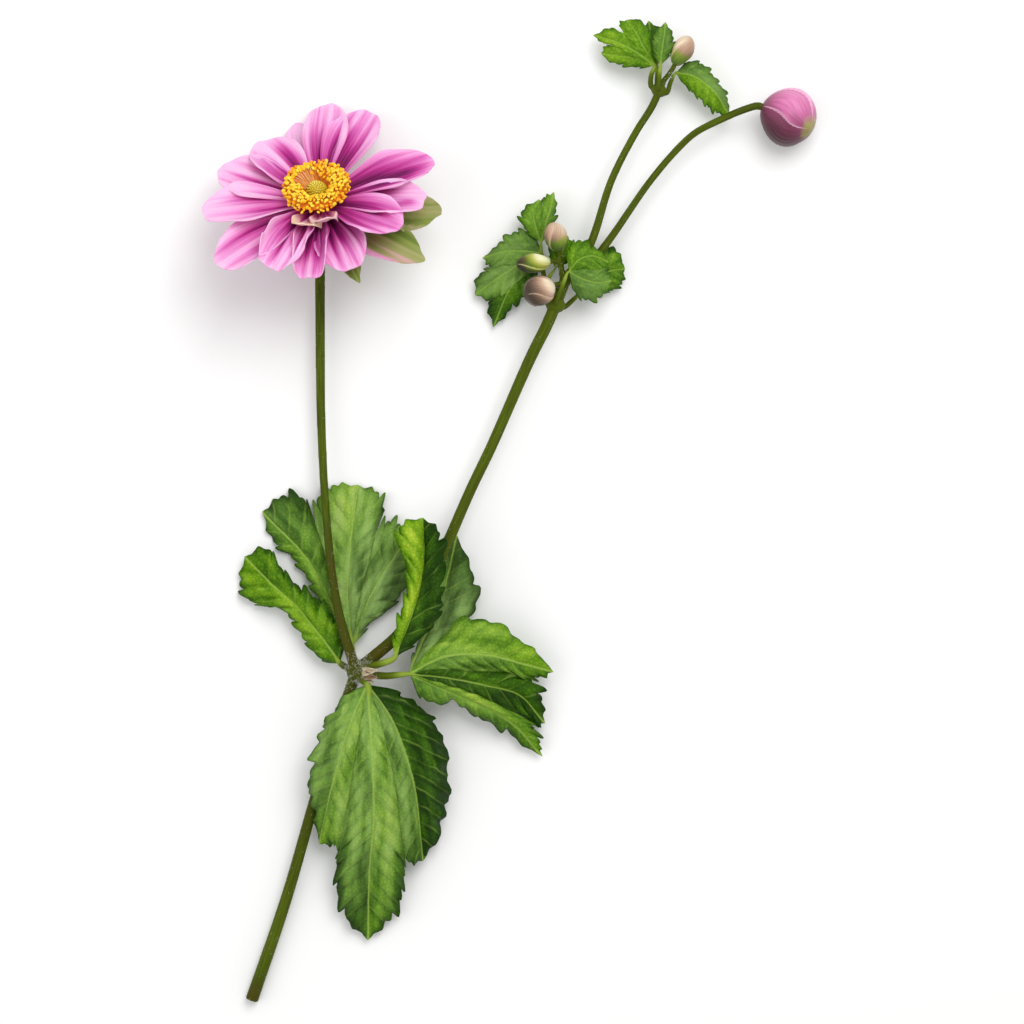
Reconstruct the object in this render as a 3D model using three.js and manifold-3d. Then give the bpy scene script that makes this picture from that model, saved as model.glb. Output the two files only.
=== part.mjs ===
import * as THREE from 'three';
import { mergeVertices } from 'three/addons/utils/BufferGeometryUtils.js';
import Module from 'manifold-3d';

// A picked stem of Japanese anemone, lying on its surface and seen from above.
// Millimetres, +Z up. +Y runs from the cut end of the stem to the open flower.
// Every leaf, bract and petal is a thin blade, given by its ribs and its edges.

const wasm = await Module();
wasm.setup();

const leafThickness = 0.8;
const petalThickness = 0.8;
const seatGap = 0.35;
const leafDefaults = { rows: 10, furrowRows: 5, columns: 2, tooth: 1.2, pillow: 0.8, stalkRadii: [1.2, 1, 0.5] };

// The open flower: the middle of its petals' plane and the way it faces.
const flowerCentre = [-57.4, 93.8, 23.4];
const flowerFacing = [-0.09, 0.637, 0.766];
const flowerAcross = [0.99, 0.139, 0];
const petalRootRadius = 2.5;
const hubRadius = 4.6;
const hubTop = -1.8;
const hubBottom = -4.4;
const calyxRadius = 3.4;
const calyxBottom = -6.6;
const stamenInnerRadius = 3.9;
const stamenOuterRadius = 5.2;
const pistilRadius = stamenInnerRadius - seatGap;
const pistilHeight = 4.2;

// The two places where leaves and branches leave the stem, and the top of the upper bud stalk.
const leafNode = [-46.5, -47.6, 10];
const leafNodeRadius = 2.9;
const lowerWhorl = [15.2, 67.6, 9.4];
const upperWhorl = [44.9, 128.3, 9.6];

const at = ([x, y, z]) => new THREE.Vector3(x, y, z);
const curveThrough = (points) => new THREE.CatmullRomCurve3(points.map(at), false, 'centripetal');

// A repeatable random draw between 0 and 1.
function randomFrom(seed) {
  let state = seed;
  return () => {
    state = (state * 1664525 + 1013904223) % 4294967296;
    return state / 4294967296;
  };
}

// A value read along an evenly spaced list, from its first entry at 0 to its last at 1.
function along(list, fraction) {
  const place = THREE.MathUtils.clamp(fraction, 0, 1) * (list.length - 1);
  const index = Math.min(Math.floor(place), list.length - 2);
  return THREE.MathUtils.lerp(list[index], list[index + 1], place - index);
}

// The triangles of an indexed geometry, without those that merging has closed to a line.
function trueFaces(geometry) {
  const faces = [];
  for (let i = 0; i < geometry.index.count; i += 3) {
    const [a, b, c] = [0, 1, 2].map((k) => geometry.index.getX(i + k));
    if (a !== b && b !== c && c !== a) {
      faces.push([a, b, c]);
    }
  }
  return faces;
}

// Turns a closed geometry into a solid that can be joined to others.
function solid(geometry) {
  const plain = geometry.clone();
  for (const name of ['normal', 'uv']) {
    plain.deleteAttribute(name);
  }
  const merged = mergeVertices(plain, 1e-4);
  return new wasm.Manifold(new wasm.Mesh({
    numProp: 3,
    vertProperties: new Float32Array(merged.attributes.position.array),
    triVerts: new Uint32Array(trueFaces(merged).flat()),
  }));
}

// Joins closed geometries into one body.
function fused(geometries) {
  const joined = geometries.map(solid).reduce((whole, piece) => whole.add(piece));
  const mesh = joined.getMesh();
  const geometry = new THREE.BufferGeometry();
  geometry.setAttribute('position', new THREE.BufferAttribute(mesh.vertProperties, mesh.numProp));
  geometry.setIndex(new THREE.BufferAttribute(mesh.triVerts, 1));
  return geometry;
}

// A round stalk along a curve, its radius read from a list along its length.
function stalk(points, radii, sides = 8, stepLength = 7) {
  const path = curveThrough(points);
  const steps = Math.max(1, Math.round(path.getLength() / stepLength));
  const corners = Array.from({ length: sides }, (_, i) => {
    const turn = (i / sides) * Math.PI * 2;
    return new THREE.Vector2(Math.cos(turn), Math.sin(turn));
  });
  const geometry = new THREE.ExtrudeGeometry(new THREE.Shape(corners), { steps, extrudePath: path });
  const centres = path.getSpacedPoints(steps);
  const position = geometry.attributes.position;
  const vertex = new THREE.Vector3();
  for (let i = 0; i < position.count; i++) {
    vertex.fromBufferAttribute(position, i);
    const distances = centres.map((centre) => centre.distanceToSquared(vertex));
    const nearest = distances.indexOf(Math.min(...distances));
    const radius = along(radii, nearest / steps);
    vertex.sub(centres[nearest]).multiplyScalar(radius).add(centres[nearest]);
    position.setXYZ(i, vertex.x, vertex.y, vertex.z);
  }
  return geometry;
}

// Gives an open sheet its thickness: the same triangles on both faces, and a wall round its edge.
function thickened(corners, triangles, thickness) {
  const sheet = new THREE.BufferGeometry().setFromPoints(triangles.flat().map((i) => corners[i]));
  const merged = mergeVertices(sheet, 1e-3);
  const faces = trueFaces(merged);
  merged.setIndex(faces.flat());
  merged.computeVertexNormals();
  const { position, normal } = merged.attributes;
  const count = position.count;
  const points = [];
  for (const side of [0.5, -0.5]) {
    for (let i = 0; i < count; i++) {
      const out = new THREE.Vector3().fromBufferAttribute(normal, i);
      points.push(new THREE.Vector3().fromBufferAttribute(position, i).addScaledVector(out, side * thickness));
    }
  }
  const edges = new Set(faces.flatMap(([a, b, c]) => [`${a} ${b}`, `${b} ${c}`, `${c} ${a}`]));
  const index = faces.flatMap(([a, b, c]) => [a, b, c, c + count, b + count, a + count]);
  for (const edge of edges) {
    const [a, b] = edge.split(' ').map(Number);
    if (!edges.has(`${b} ${a}`)) {
      index.push(b, a, a + count, b, a + count, b + count);
    }
  }
  const geometry = new THREE.BufferGeometry().setFromPoints(points);
  geometry.setIndex(index);
  return geometry;
}

// Splits a grid of rows into triangles; flip turns them to face the other way.
function gridTriangles(rows, columns, start, flip) {
  const triangles = [];
  for (let i = 0; i < rows; i++) {
    for (let j = 0; j < columns; j++) {
      const a = start + i * (columns + 1) + j;
      const b = a + columns + 1;
      const pair = [[a, a + 1, b + 1], [a, b + 1, b]];
      triangles.push(...(flip ? pair.map(([p, q, r]) => [p, r, q]) : pair));
    }
  }
  return triangles;
}

// One half of a lobe, from its rib out to its toothed edge. Below the sinus the edge follows
// the furrow that it shares with the next lobe, so the lobes of a leaf are one sheet.
function halfLobe(leaf, lobe, side) {
  const { base, furrowRows, columns, tooth, pillow } = leaf;
  const rows = lobe.rows ?? leaf.rows;
  const rib = curveThrough([base, ...lobe.rib]).getSpacedPoints(rows);
  const tip = lobe.rib[lobe.rib.length - 1];
  const { furrow, edge } = lobe[side];
  const shared = furrow ? curveThrough([base, ...furrow]).getSpacedPoints(furrowRows) : [at(base)];
  const edgeRows = rows - shared.length + 1;
  const start = furrow ? furrow[furrow.length - 1] : base;
  const border = curveThrough([start, ...edge, tip]).getSpacedPoints(edgeRows);
  const outer = [...shared, ...border.slice(1)];
  const points = [];
  for (let i = 0; i <= rows; i++) {
    const across = outer[i].clone().sub(rib[i]);
    const forward = rib[Math.min(i + 1, rows)].clone().sub(rib[Math.max(i - 1, 0)]).normalize();
    const up = new THREE.Vector3().crossVectors(across, forward).normalize();
    if (side === 'left') {
      up.negate();
    }
    const toothed = i >= shared.length && i < rows && (rows - i) % 2 === 1;
    if (toothed) {
      across.addScaledVector(across.clone().normalize(), tooth).addScaledVector(forward, tooth);
    }
    for (let j = 0; j <= columns; j++) {
      const t = j / columns;
      const swell = pillow * Math.sin(Math.PI * t) * Math.sin((Math.PI * i) / rows);
      points.push(rib[i].clone().addScaledVector(across, t).addScaledVector(up, swell));
    }
  }
  return points;
}

// A leaf or bract: its lobes side by side in one sheet, with the stalk that carries it. The
// stalk's end is sunk in the foot of the middle lobe.
function leafPieces(settings) {
  const leaf = { ...leafDefaults, ...settings };
  const corners = [];
  const triangles = [];
  for (const lobe of leaf.lobes) {
    for (const side of ['left', 'right']) {
      triangles.push(...gridTriangles(lobe.rows ?? leaf.rows, leaf.columns, corners.length, side === 'left'));
      corners.push(...halfLobe(leaf, lobe, side));
    }
  }
  const middleLobe = leaf.lobes[Math.floor(leaf.lobes.length / 2)];
  const sunk = at(leaf.base).lerp(at(middleLobe.rib[0]), 0.4).toArray();
  const carrier = stalk([...leaf.stalk, leaf.base, sunk], leaf.stalkRadii, 6, 2.5);
  return [thickened(corners, triangles, leafThickness), carrier];
}

// The frame of the open flower: azimuth is counted from its right-hand side towards its top.
const centre = at(flowerCentre);
const facing = at(flowerFacing).normalize();
const acrossRight = at(flowerAcross).normalize();
const acrossTop = new THREE.Vector3().crossVectors(facing, acrossRight);
const outward = (azimuth) => {
  const turn = THREE.MathUtils.degToRad(azimuth);
  return acrossRight.clone().multiplyScalar(Math.cos(turn)).addScaledVector(acrossTop, Math.sin(turn));
};
const inFlower = (azimuth, radius, height) => {
  return centre.clone().addScaledVector(outward(azimuth), radius).addScaledVector(facing, height);
};
const flowerTurn = new THREE.Matrix4().makeBasis(acrossRight, facing, acrossTop.clone().negate());
const flowerPlace = flowerTurn.clone().setPosition(centre);

// Half the width of a petal along its length, as a share of its greatest half-width.
const petalOutline = [0.2, 0.36, 0.58, 0.8, 0.96, 1, 0.95, 0.72];
const petalRows = 5;
const petalColumns = 4;
const tipRounding = 0.16;
const notchWidth = 0.2;

// A petal grows from the flower's middle at its azimuth. It starts at the slope rootSlope and
// ends at tipSlope, in degrees above the flower's plane, and its sides rise by cup.
function petalBlade(petal) {
  const { azimuth, length, width, rootSlope, tipSlope, cup, height, notch = 0.05 } = petal;
  const corners = [];
  const out = outward(azimuth);
  const side = new THREE.Vector3().crossVectors(out, facing);
  const middle = inFlower(azimuth, petalRootRadius, height);
  for (let i = 0; i <= petalRows; i++) {
    const s = i / petalRows;
    const slope = THREE.MathUtils.degToRad(THREE.MathUtils.lerp(rootSlope, tipSlope, s));
    const forward = out.clone().multiplyScalar(Math.cos(slope)).addScaledVector(facing, Math.sin(slope));
    const normal = new THREE.Vector3().crossVectors(side, forward).normalize();
    if (i > 0) {
      middle.addScaledVector(forward, (length - petalRootRadius) / petalRows);
    }
    const half = (width / 2) * along(petalOutline, s);
    for (let j = 0; j <= petalColumns; j++) {
      const t = (2 * j) / petalColumns - 1;
      const dent = notch * Math.exp(-((t / notchWidth) ** 2)) * s ** 6;
      const rounding = -length * (tipRounding * t * t * s ** 4 + dent);
      const rise = cup * t * t * Math.sin(Math.PI * 0.75 * s);
      const point = middle.clone().addScaledVector(side, half * t);
      corners.push(point.addScaledVector(forward, rounding).addScaledVector(normal, rise));
    }
  }
  return thickened(corners, gridTriangles(petalRows, petalColumns, 0, false), petalThickness);
}

// A ring or disc about the flower's axis, from profile points of radius and height.
function aboutFlower(profile, sides = 20) {
  const points = profile.map(([radius, height]) => new THREE.Vector2(radius, height));
  return new THREE.LatheGeometry(points, sides).applyMatrix4(flowerPlace);
}

// The pink petals, from the top of the flower round by its left side.
const petals = [
  { azimuth: 97, length: 34, width: 11, rootSlope: 4, tipSlope: 0, cup: 1.5, height: -3.9 },
  { azimuth: 80, length: 37.5, width: 14, rootSlope: 12, tipSlope: 0, cup: 2.5, height: -3.1 },
  { azimuth: 126, length: 28.5, width: 16, rootSlope: 16, tipSlope: 6, cup: 2.5, height: -3 },
  { azimuth: 153, length: 32.5, width: 16.5, rootSlope: 10, tipSlope: 8, cup: 2.5, height: -3.6 },
  { azimuth: 183, length: 35, width: 16, rootSlope: 11, tipSlope: 3, cup: 2.5, height: -3 },
  { azimuth: 214, length: 38, width: 17, rootSlope: 4, tipSlope: 0, cup: 2, height: -3.9 },
  { azimuth: 239, length: 31.5, width: 16, rootSlope: 14, tipSlope: -8, cup: 2.5, height: -3 },
  { azimuth: 260, length: 31.5, width: 14, rootSlope: 4, tipSlope: -2, cup: 2.5, height: -3.6 },
  { azimuth: 285, length: 29, width: 15, rootSlope: 0, tipSlope: -4, cup: 2, height: -4 },
  { azimuth: 319, length: 31.5, width: 15, rootSlope: 16, tipSlope: 4, cup: 2.5, height: -3.1 },
  { azimuth: 341, length: 34.5, width: 14, rootSlope: 12, tipSlope: 8, cup: 2.5, height: -3.7 },
  { azimuth: 5, length: 36.5, width: 15, rootSlope: 15, tipSlope: 8, cup: 3, height: -3.1 },
  { azimuth: 59, length: 36, width: 16, rootSlope: 14, tipSlope: 2, cup: 3, height: -3.5 },
  { azimuth: 250, length: 21, width: 9, rootSlope: 0, tipSlope: 60, cup: 2, height: -3.2 },
  { azimuth: 276, length: 20, width: 8, rootSlope: 0, tipSlope: 66, cup: 2, height: -3.2 },
];

// The outer petals that stayed green, under the pink ones.
const greenPetals = [
  { azimuth: 349, length: 36.5, width: 15, rootSlope: -8, tipSlope: 2, cup: 1.5, height: -5.7 },
  { azimuth: 319, length: 35.5, width: 15, rootSlope: -8, tipSlope: -2, cup: 1.5, height: -5.7, notch: -0.08 },
  { azimuth: 288, length: 27, width: 8, rootSlope: -16, tipSlope: -8, cup: 1, height: -5.7, notch: -0.1 },
];

function pinkPetals() {
  const hub = aboutFlower([[0, hubBottom], [hubRadius - 1, hubBottom], [hubRadius, -3.4], [hubRadius - 0.4, hubTop], [0, hubTop]]);
  return fused([hub, ...petals.map(petalBlade)]);
}

function outerPetals() {
  const cup = aboutFlower([[0, calyxBottom], [1.9, calyxBottom], [calyxRadius, -5.6], [calyxRadius, hubBottom - seatGap], [0, hubBottom - seatGap]]);
  return fused([cup, ...greenPetals.map(petalBlade)]);
}

// Stamens stand in rings round a low collar; each is a thread with a plump anther on its end.
const stamenRings = [
  { count: 9, root: 4.8, radius: 5.6, height: 4.8 },
  { count: 14, root: 5.2, radius: 7.5, height: 4.7 },
  { count: 18, root: 5.4, radius: 9.3, height: 3.8 },
];

function stamens() {
  const draw = randomFrom(7);
  const foot = hubTop + seatGap + 0.15;
  const ring = [[stamenInnerRadius, foot], [stamenOuterRadius, foot], [6, 2], [5.8, 2.8], [stamenInnerRadius, 2]];
  const pieces = [aboutFlower([...ring, ring[0]], 24)];
  for (const { count, root, radius, height } of stamenRings) {
    for (let i = 0; i < count; i++) {
      const azimuth = ((i + 0.6 * draw()) / count) * 360;
      const top = height + 0.9 * (draw() - 0.5);
      const reach = radius + 0.9 * (draw() - 0.5);
      const thread = [inFlower(azimuth, root, 1.6), inFlower(azimuth, reach, top)].map((p) => p.toArray());
      const anther = new THREE.OctahedronGeometry(1).scale(0.75, 1.15, 0.75);
      anther.rotateY(draw() * Math.PI).applyMatrix4(flowerTurn);
      const tip = inFlower(azimuth, reach, top);
      pieces.push(stalk(thread, [0.4, 0.35], 3, 9), anther.translate(tip.x, tip.y, tip.z));
    }
  }
  return fused(pieces);
}

// The green middle: a dome set all over with the blunt tips of its carpels.
function pistil() {
  const foot = hubTop + seatGap;
  const dome = [[0, foot], [2.4, foot], [2.9, 1.2], [2.9, 2.4], [2.2, 3.2], [1.1, 3.6], [0, 3.7]];
  const pieces = [aboutFlower(dome, 16)];
  const carpels = 20;
  for (let i = 0; i < carpels; i++) {
    const rise = 1 - (i + 0.5) / carpels;
    const azimuth = i * 137.5;
    const reach = (pistilRadius - 1) * Math.sqrt(1 - rise ** 2);
    const spot = inFlower(azimuth, reach, 1.1 + rise * (pistilHeight - 1.6));
    pieces.push(new THREE.OctahedronGeometry(0.62).translate(spot.x, spot.y, spot.z));
  }
  return fused(pieces);
}

// The stem: cut end to leaf node, then the flower's stalk, and the branch that carries the buds.
const cutEnd = [-78.2, -146.66, 2];
const flowerSeat = inFlower(0, 0, calyxBottom - seatGap).toArray();
const flowerNeck = inFlower(0, 0, calyxBottom - 4).toArray();
const mainStem = [cutEnd, [-67.7, -115.9, 3.2], [-57.3, -80.3, 6.6], leafNode];
const flowerStalk = [
  leafNode, [-51.1, -32.5, 10.2], [-53.5, -20, 9.6], [-55, -7, 8.4], [-56.2, 8, 7], [-57.2, 30, 5.6],
  [-57.4, 50, 5.6], [-57.4, 70, 7.6], [-57.3, 82, 11], flowerNeck, flowerSeat,
];
const sideBranch = [
  leafNode, [-31.4, -33.7, 10.2], [-20.5, -11.9, 9.8], [-12.3, 6.7, 9.4], [-6.4, 19, 9.2], [5.8, 46.6, 9.2],
  [10.7, 56.4, 9.3], lowerWhorl,
];
const upperBudStalk = [
  lowerWhorl, [18, 72.5, 9.8], [23, 79.1, 10], [29.7, 99, 9.8], [36.9, 113.2, 9.6], [42, 121.4, 9.5], upperWhorl,
];
const pinkBudStalk = [
  lowerWhorl, [18.6, 70.8, 8.8], [25.6, 76.9, 8.4], [41.4, 99, 8.2], [49.6, 108.6, 8.4], [54.7, 113.2, 8.8],
  [63.8, 117.8, 9.6], [69.4, 120.1, 10],
];

// The buds. Each sits on the end of its own short stalk, which starts at root.
const buds = {
  pink_bud: { seat: [74.5, 120.9, 9.4], tip: [90.3, 115.2, 8.2], radius: 8.8, petals: 4, rings: 12, sectors: 20 },
  large_bud: { seat: [12.3, 67.4, 12.6], tip: [4, 64.2, 17.2], radius: 4.8, petals: 4, rings: 8, sectors: 12, root: lowerWhorl },
  tan_bud: { seat: [14, 77.6, 11.6], tip: [12, 86, 13.6], radius: 3.5, petals: 3, rings: 7, sectors: 12, root: lowerWhorl },
  green_bud: { seat: [11.6, 74.5, 11.8], tip: [1.4, 73.6, 12.2], radius: 3, petals: 3, rings: 7, sectors: 12, root: lowerWhorl },
  top_bud: { seat: [48.4, 133.2, 10.8], tip: [53, 141.6, 11.6], radius: 3.3, petals: 3, rings: 7, sectors: 12, root: upperWhorl },
};

// A bud is an egg of petals folded over each other: its radius steps at each petal's edge.
function budGeometry({ seat, tip, radius, petals: folds, rings, sectors }) {
  const axis = at(tip).sub(at(seat));
  const geometry = new THREE.SphereGeometry(1, sectors, rings);
  const position = geometry.attributes.position;
  for (let i = 0; i < position.count; i++) {
    const [x, y, z] = [position.getX(i), position.getY(i), position.getZ(i)];
    const turn = Math.atan2(z, x) / (Math.PI * 2) + 0.12 * y;
    const fold = (((turn * folds) % 1) + 1) % 1;
    const swell = radius * (1 - 0.08 * fold * (1 - y * y)) * (1 + 0.08 * y - 0.06 * y * y);
    position.setXYZ(i, x * swell, ((y + 1) / 2) * axis.length(), z * swell);
  }
  const turn = new THREE.Quaternion().setFromUnitVectors(new THREE.Vector3(0, 1, 0), axis.normalize());
  return fused([geometry.applyQuaternion(turn).translate(...seat)]);
}

// The last two points of a bud's stalk, in line with the bud and just short of its foot.
function budNeck({ seat, tip }) {
  const axis = at(tip).sub(at(seat)).normalize();
  return [seatGap + 1.8, seatGap].map((distance) => at(seat).addScaledVector(axis, -distance).toArray());
}

function stemGeometry() {
  const swelling = new THREE.SphereGeometry(leafNodeRadius, 12, 8).translate(...leafNode);
  return fused([
    stalk(mainStem, [2, 1.8, 1.7, 1.8], 8, 11),
    stalk(flowerStalk, [1.7, 1.4, 1.3, 1.3, 1.4, 1.5, 1.6, 1.8], 8, 9),
    stalk(sideBranch, [1.9, 1.7, 1.7, 1.9], 8, 11),
    stalk(upperBudStalk, [1.4, 1.25, 1.15, 1.2], 7, 8),
    stalk([...pinkBudStalk, ...budNeck(buds.pink_bud)], [1.4, 1.15, 1.1, 1.2], 7, 8),
    swelling,
    ...Object.values(buds).filter((bud) => bud.root).map((bud) => stalk([bud.root, ...budNeck(bud)], [0.9, 0.9], 6, 2.5)),
  ]);
}

// The leaves at the node. A lobe's right side is the one on the right when its tip points away.
const frontLeftFurrow = [[-38.2, -65, 20], [-34.5, -83, 16.5], [-32.8, -98, 11.5]];
const frontRightFurrow = [[-45, -65, 20], [-48, -83, 17], [-50.3, -95, 12]];
const frontLeaf = {
  stalk: [[-45.4, -49.5, 13]],
  base: [-43, -51.4, 13.4],
  furrowRows: 6,
  lobes: [
    {
      rib: [[-35.5, -62, 18], [-29.5, -80, 14.5], [-27, -102.3, 6]],
      left: { edge: [[-36, -52.5, 13], [-30, -54.6, 12], [-23.6, -61, 9.5], [-20.9, -73, 7.5], [-21.2, -87, 6], [-24, -98, 5.5]] },
      right: { furrow: frontLeftFurrow, edge: [[-30.5, -102, 8.5]] },
    },
    {
      rows: 14,
      rib: [[-42, -62, 21], [-41.2, -75, 21.5], [-41, -90, 17.5], [-42.6, -108, 9.5], [-43.2, -126.3, 3]],
      left: { furrow: frontLeftFurrow, edge: [[-33, -106, 8.5], [-34.6, -115, 6], [-38.8, -121.4, 4]] },
      right: { furrow: frontRightFurrow, edge: [[-51.4, -104, 9.5], [-50.9, -112.5, 7], [-47.6, -121, 4.6]] },
    },
    {
      rib: [[-47.5, -62, 18.5], [-53, -80, 15.5], [-57.1, -97.4, 7]],
      left: { furrow: frontRightFurrow, edge: [[-53.5, -97.2, 9.5]] },
      right: { edge: [[-48, -54, 12.5], [-55, -64, 12.8], [-58.4, -76, 12], [-58, -88, 9.5]] },
    },
  ],
};

const rightUpperFurrow = [[-25, -41.5, 12.4], [-19.8, -36.4, 9.6]];
const rightMiddleFurrow = [[-22, -46.6, 14.2], [-12, -47.4, 12.4], [-2.6, -47.6, 9]];
const rightLowerFurrow = [[-20.5, -50.8, 12.8], [-9, -54.8, 10], [1, -60, 7]];
const rightLeaf = {
  stalk: [[-43.2, -48.3, 10.8], [-38, -48.8, 12.2]],
  base: [-30.5, -48.2, 13.2],
  furrowRows: 4,
  lobes: [
    {
      rib: [[-25.6, -37, 9], [-20, -22, 5.4], [-17, -9.3, 4]],
      left: { edge: [[-27.4, -40, 9.5], [-23.4, -29, 6.6], [-21.2, -16, 4.6]] },
      right: { furrow: rightUpperFurrow, edge: [[-13.2, -31, 6.6], [-12.6, -24, 5.6], [-14.6, -15.6, 4.6]] },
    },
    {
      rib: [[-20, -43, 15], [-8, -42.4, 13.6], [3, -45.2, 10], [10.2, -47.2, 7]],
      left: { furrow: rightUpperFurrow, edge: [[-15.4, -33, 12], [-6, -34.4, 11.6], [1, -39, 9.6], [7.4, -43.8, 8]] },
      right: { furrow: rightMiddleFurrow, edge: [[4, -48.6, 8]] },
    },
    {
      rib: [[-21, -49, 13.4], [-9, -51.4, 11], [2, -54.6, 7.6], [8.4, -61.6, 4.6]],
      left: { furrow: rightMiddleFurrow, edge: [[3, -50.4, 7.6], [6.6, -55, 6]] },
      right: { furrow: rightLowerFurrow, edge: [[5, -61.8, 5.4]] },
    },
    {
      rib: [[-21, -52.6, 12], [-9, -57.6, 9], [1, -64, 6], [7.6, -71.6, 2.8]],
      left: { furrow: rightLowerFurrow, edge: [[5, -65, 5]] },
      right: { edge: [[-26, -54.6, 11.6], [-18, -55.4, 9.6], [-9, -60.4, 7.4], [-1, -64.4, 5.4], [4, -69, 3.8]] },
    },
  ],
};

const uprightLeaf = {
  stalk: [[-43.4, -46.3, 12.6], [-39.5, -45.2, 14]],
  base: [-35, -43.4, 14.6],
  rows: 14,
  lobes: [
    {
      rib: [[-30.5, -33, 14.8], [-27, -22, 14], [-26, -12, 13], [-26.4, -4, 11.4]],
      left: { edge: [[-34, -37, 15], [-31, -27, 14], [-30.6, -18, 14], [-33, -9.6, 13.6], [-30.6, -5, 12.6]] },
      right: { edge: [[-28.6, -38, 16.4], [-23.6, -32, 18], [-22.2, -23, 18], [-21.4, -14, 17], [-23, -7, 14.6]] },
    },
  ],
};

const leftLeaf = {
  stalk: [[-49, -46.7, 8.3]],
  base: [-51.4, -45.2, 7.4],
  rows: 14,
  lobes: [
    {
      rib: [[-55.4, -39.5, 6.6], [-60, -33.6, 6.6], [-64.6, -27.8, 6.6], [-71, -22.4, 5.6], [-78.6, -15, 3]],
      left: { edge: [[-54, -45, 6], [-58.6, -40.6, 5.4], [-63, -33.6, 5.6], [-67, -29.4, 5.6], [-74.6, -27.6, 4], [-79.4, -23, 2.6]] },
      right: { edge: [[-51, -40.6, 6.4], [-53.6, -33.6, 6.4], [-58, -28.6, 6.8], [-63, -25, 6.8], [-68, -20, 5.6], [-73.4, -13, 4]] },
    },
  ],
};

const rearLeftFurrow = [[-51.5, -27, 4.6], [-55.6, -14, 3.8], [-59, -4, 2.6]];
const rearRightFurrow = [[-45.6, -26, 4.6], [-42.6, -14, 4], [-41, -6.5, 3]];
const rearLeaf = {
  stalk: [[-47.1, -46.3, 6.9], [-47.5, -43.6, 5.2]],
  base: [-48, -40.4, 4.6],
  furrowRows: 6,
  rows: 12,
  lobes: [
    {
      rib: [[-54.2, -27, 4.2], [-61.5, -14, 3.2], [-73.4, -1.6, 1.6]],
      left: { edge: [[-52.6, -33.3, 4.4], [-57.4, -24, 3.6], [-63, -15, 2.6], [-70, -8.4, 1.6]] },
      right: { furrow: rearLeftFurrow, edge: [[-62, 1.6, 2.2], [-68, 2.4, 1.8]] },
    },
    {
      rib: [[-49.2, -25, 4.8], [-48.4, -10, 3.6], [-46.6, 5.8, 1.4]],
      left: { furrow: rearLeftFurrow, edge: [[-57.6, 1.4, 2.2], [-53, 5.4, 1.6]] },
      right: { furrow: rearRightFurrow, edge: [[-39.8, -1, 2.4], [-41.6, 3.6, 1.8]] },
    },
    {
      rib: [[-44.6, -30, 4.4], [-39, -19, 4], [-31.6, -8, 2.4]],
      left: { furrow: rearRightFurrow, edge: [[-36.8, -5.6, 2.6]] },
      right: { edge: [[-45, -35, 4.2], [-38, -29, 3.4], [-33.8, -22.4, 3], [-29.8, -16, 2.4]] },
    },
  ],
};

// The bracts round each bud whorl grow from a sheath that clasps the stalk with a small gap.
const lowerSheath = { middle: [12.9, 62.1, 9.35], towards: [15.2, 67.6, 9.4], inner: 2.35, outer: 3.1, height: 3.4 };
const upperSheath = { middle: [43.9, 125.9, 9.55], towards: [44.9, 128.3, 9.6], inner: 1.65, outer: 2.4, height: 2.6 };

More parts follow.
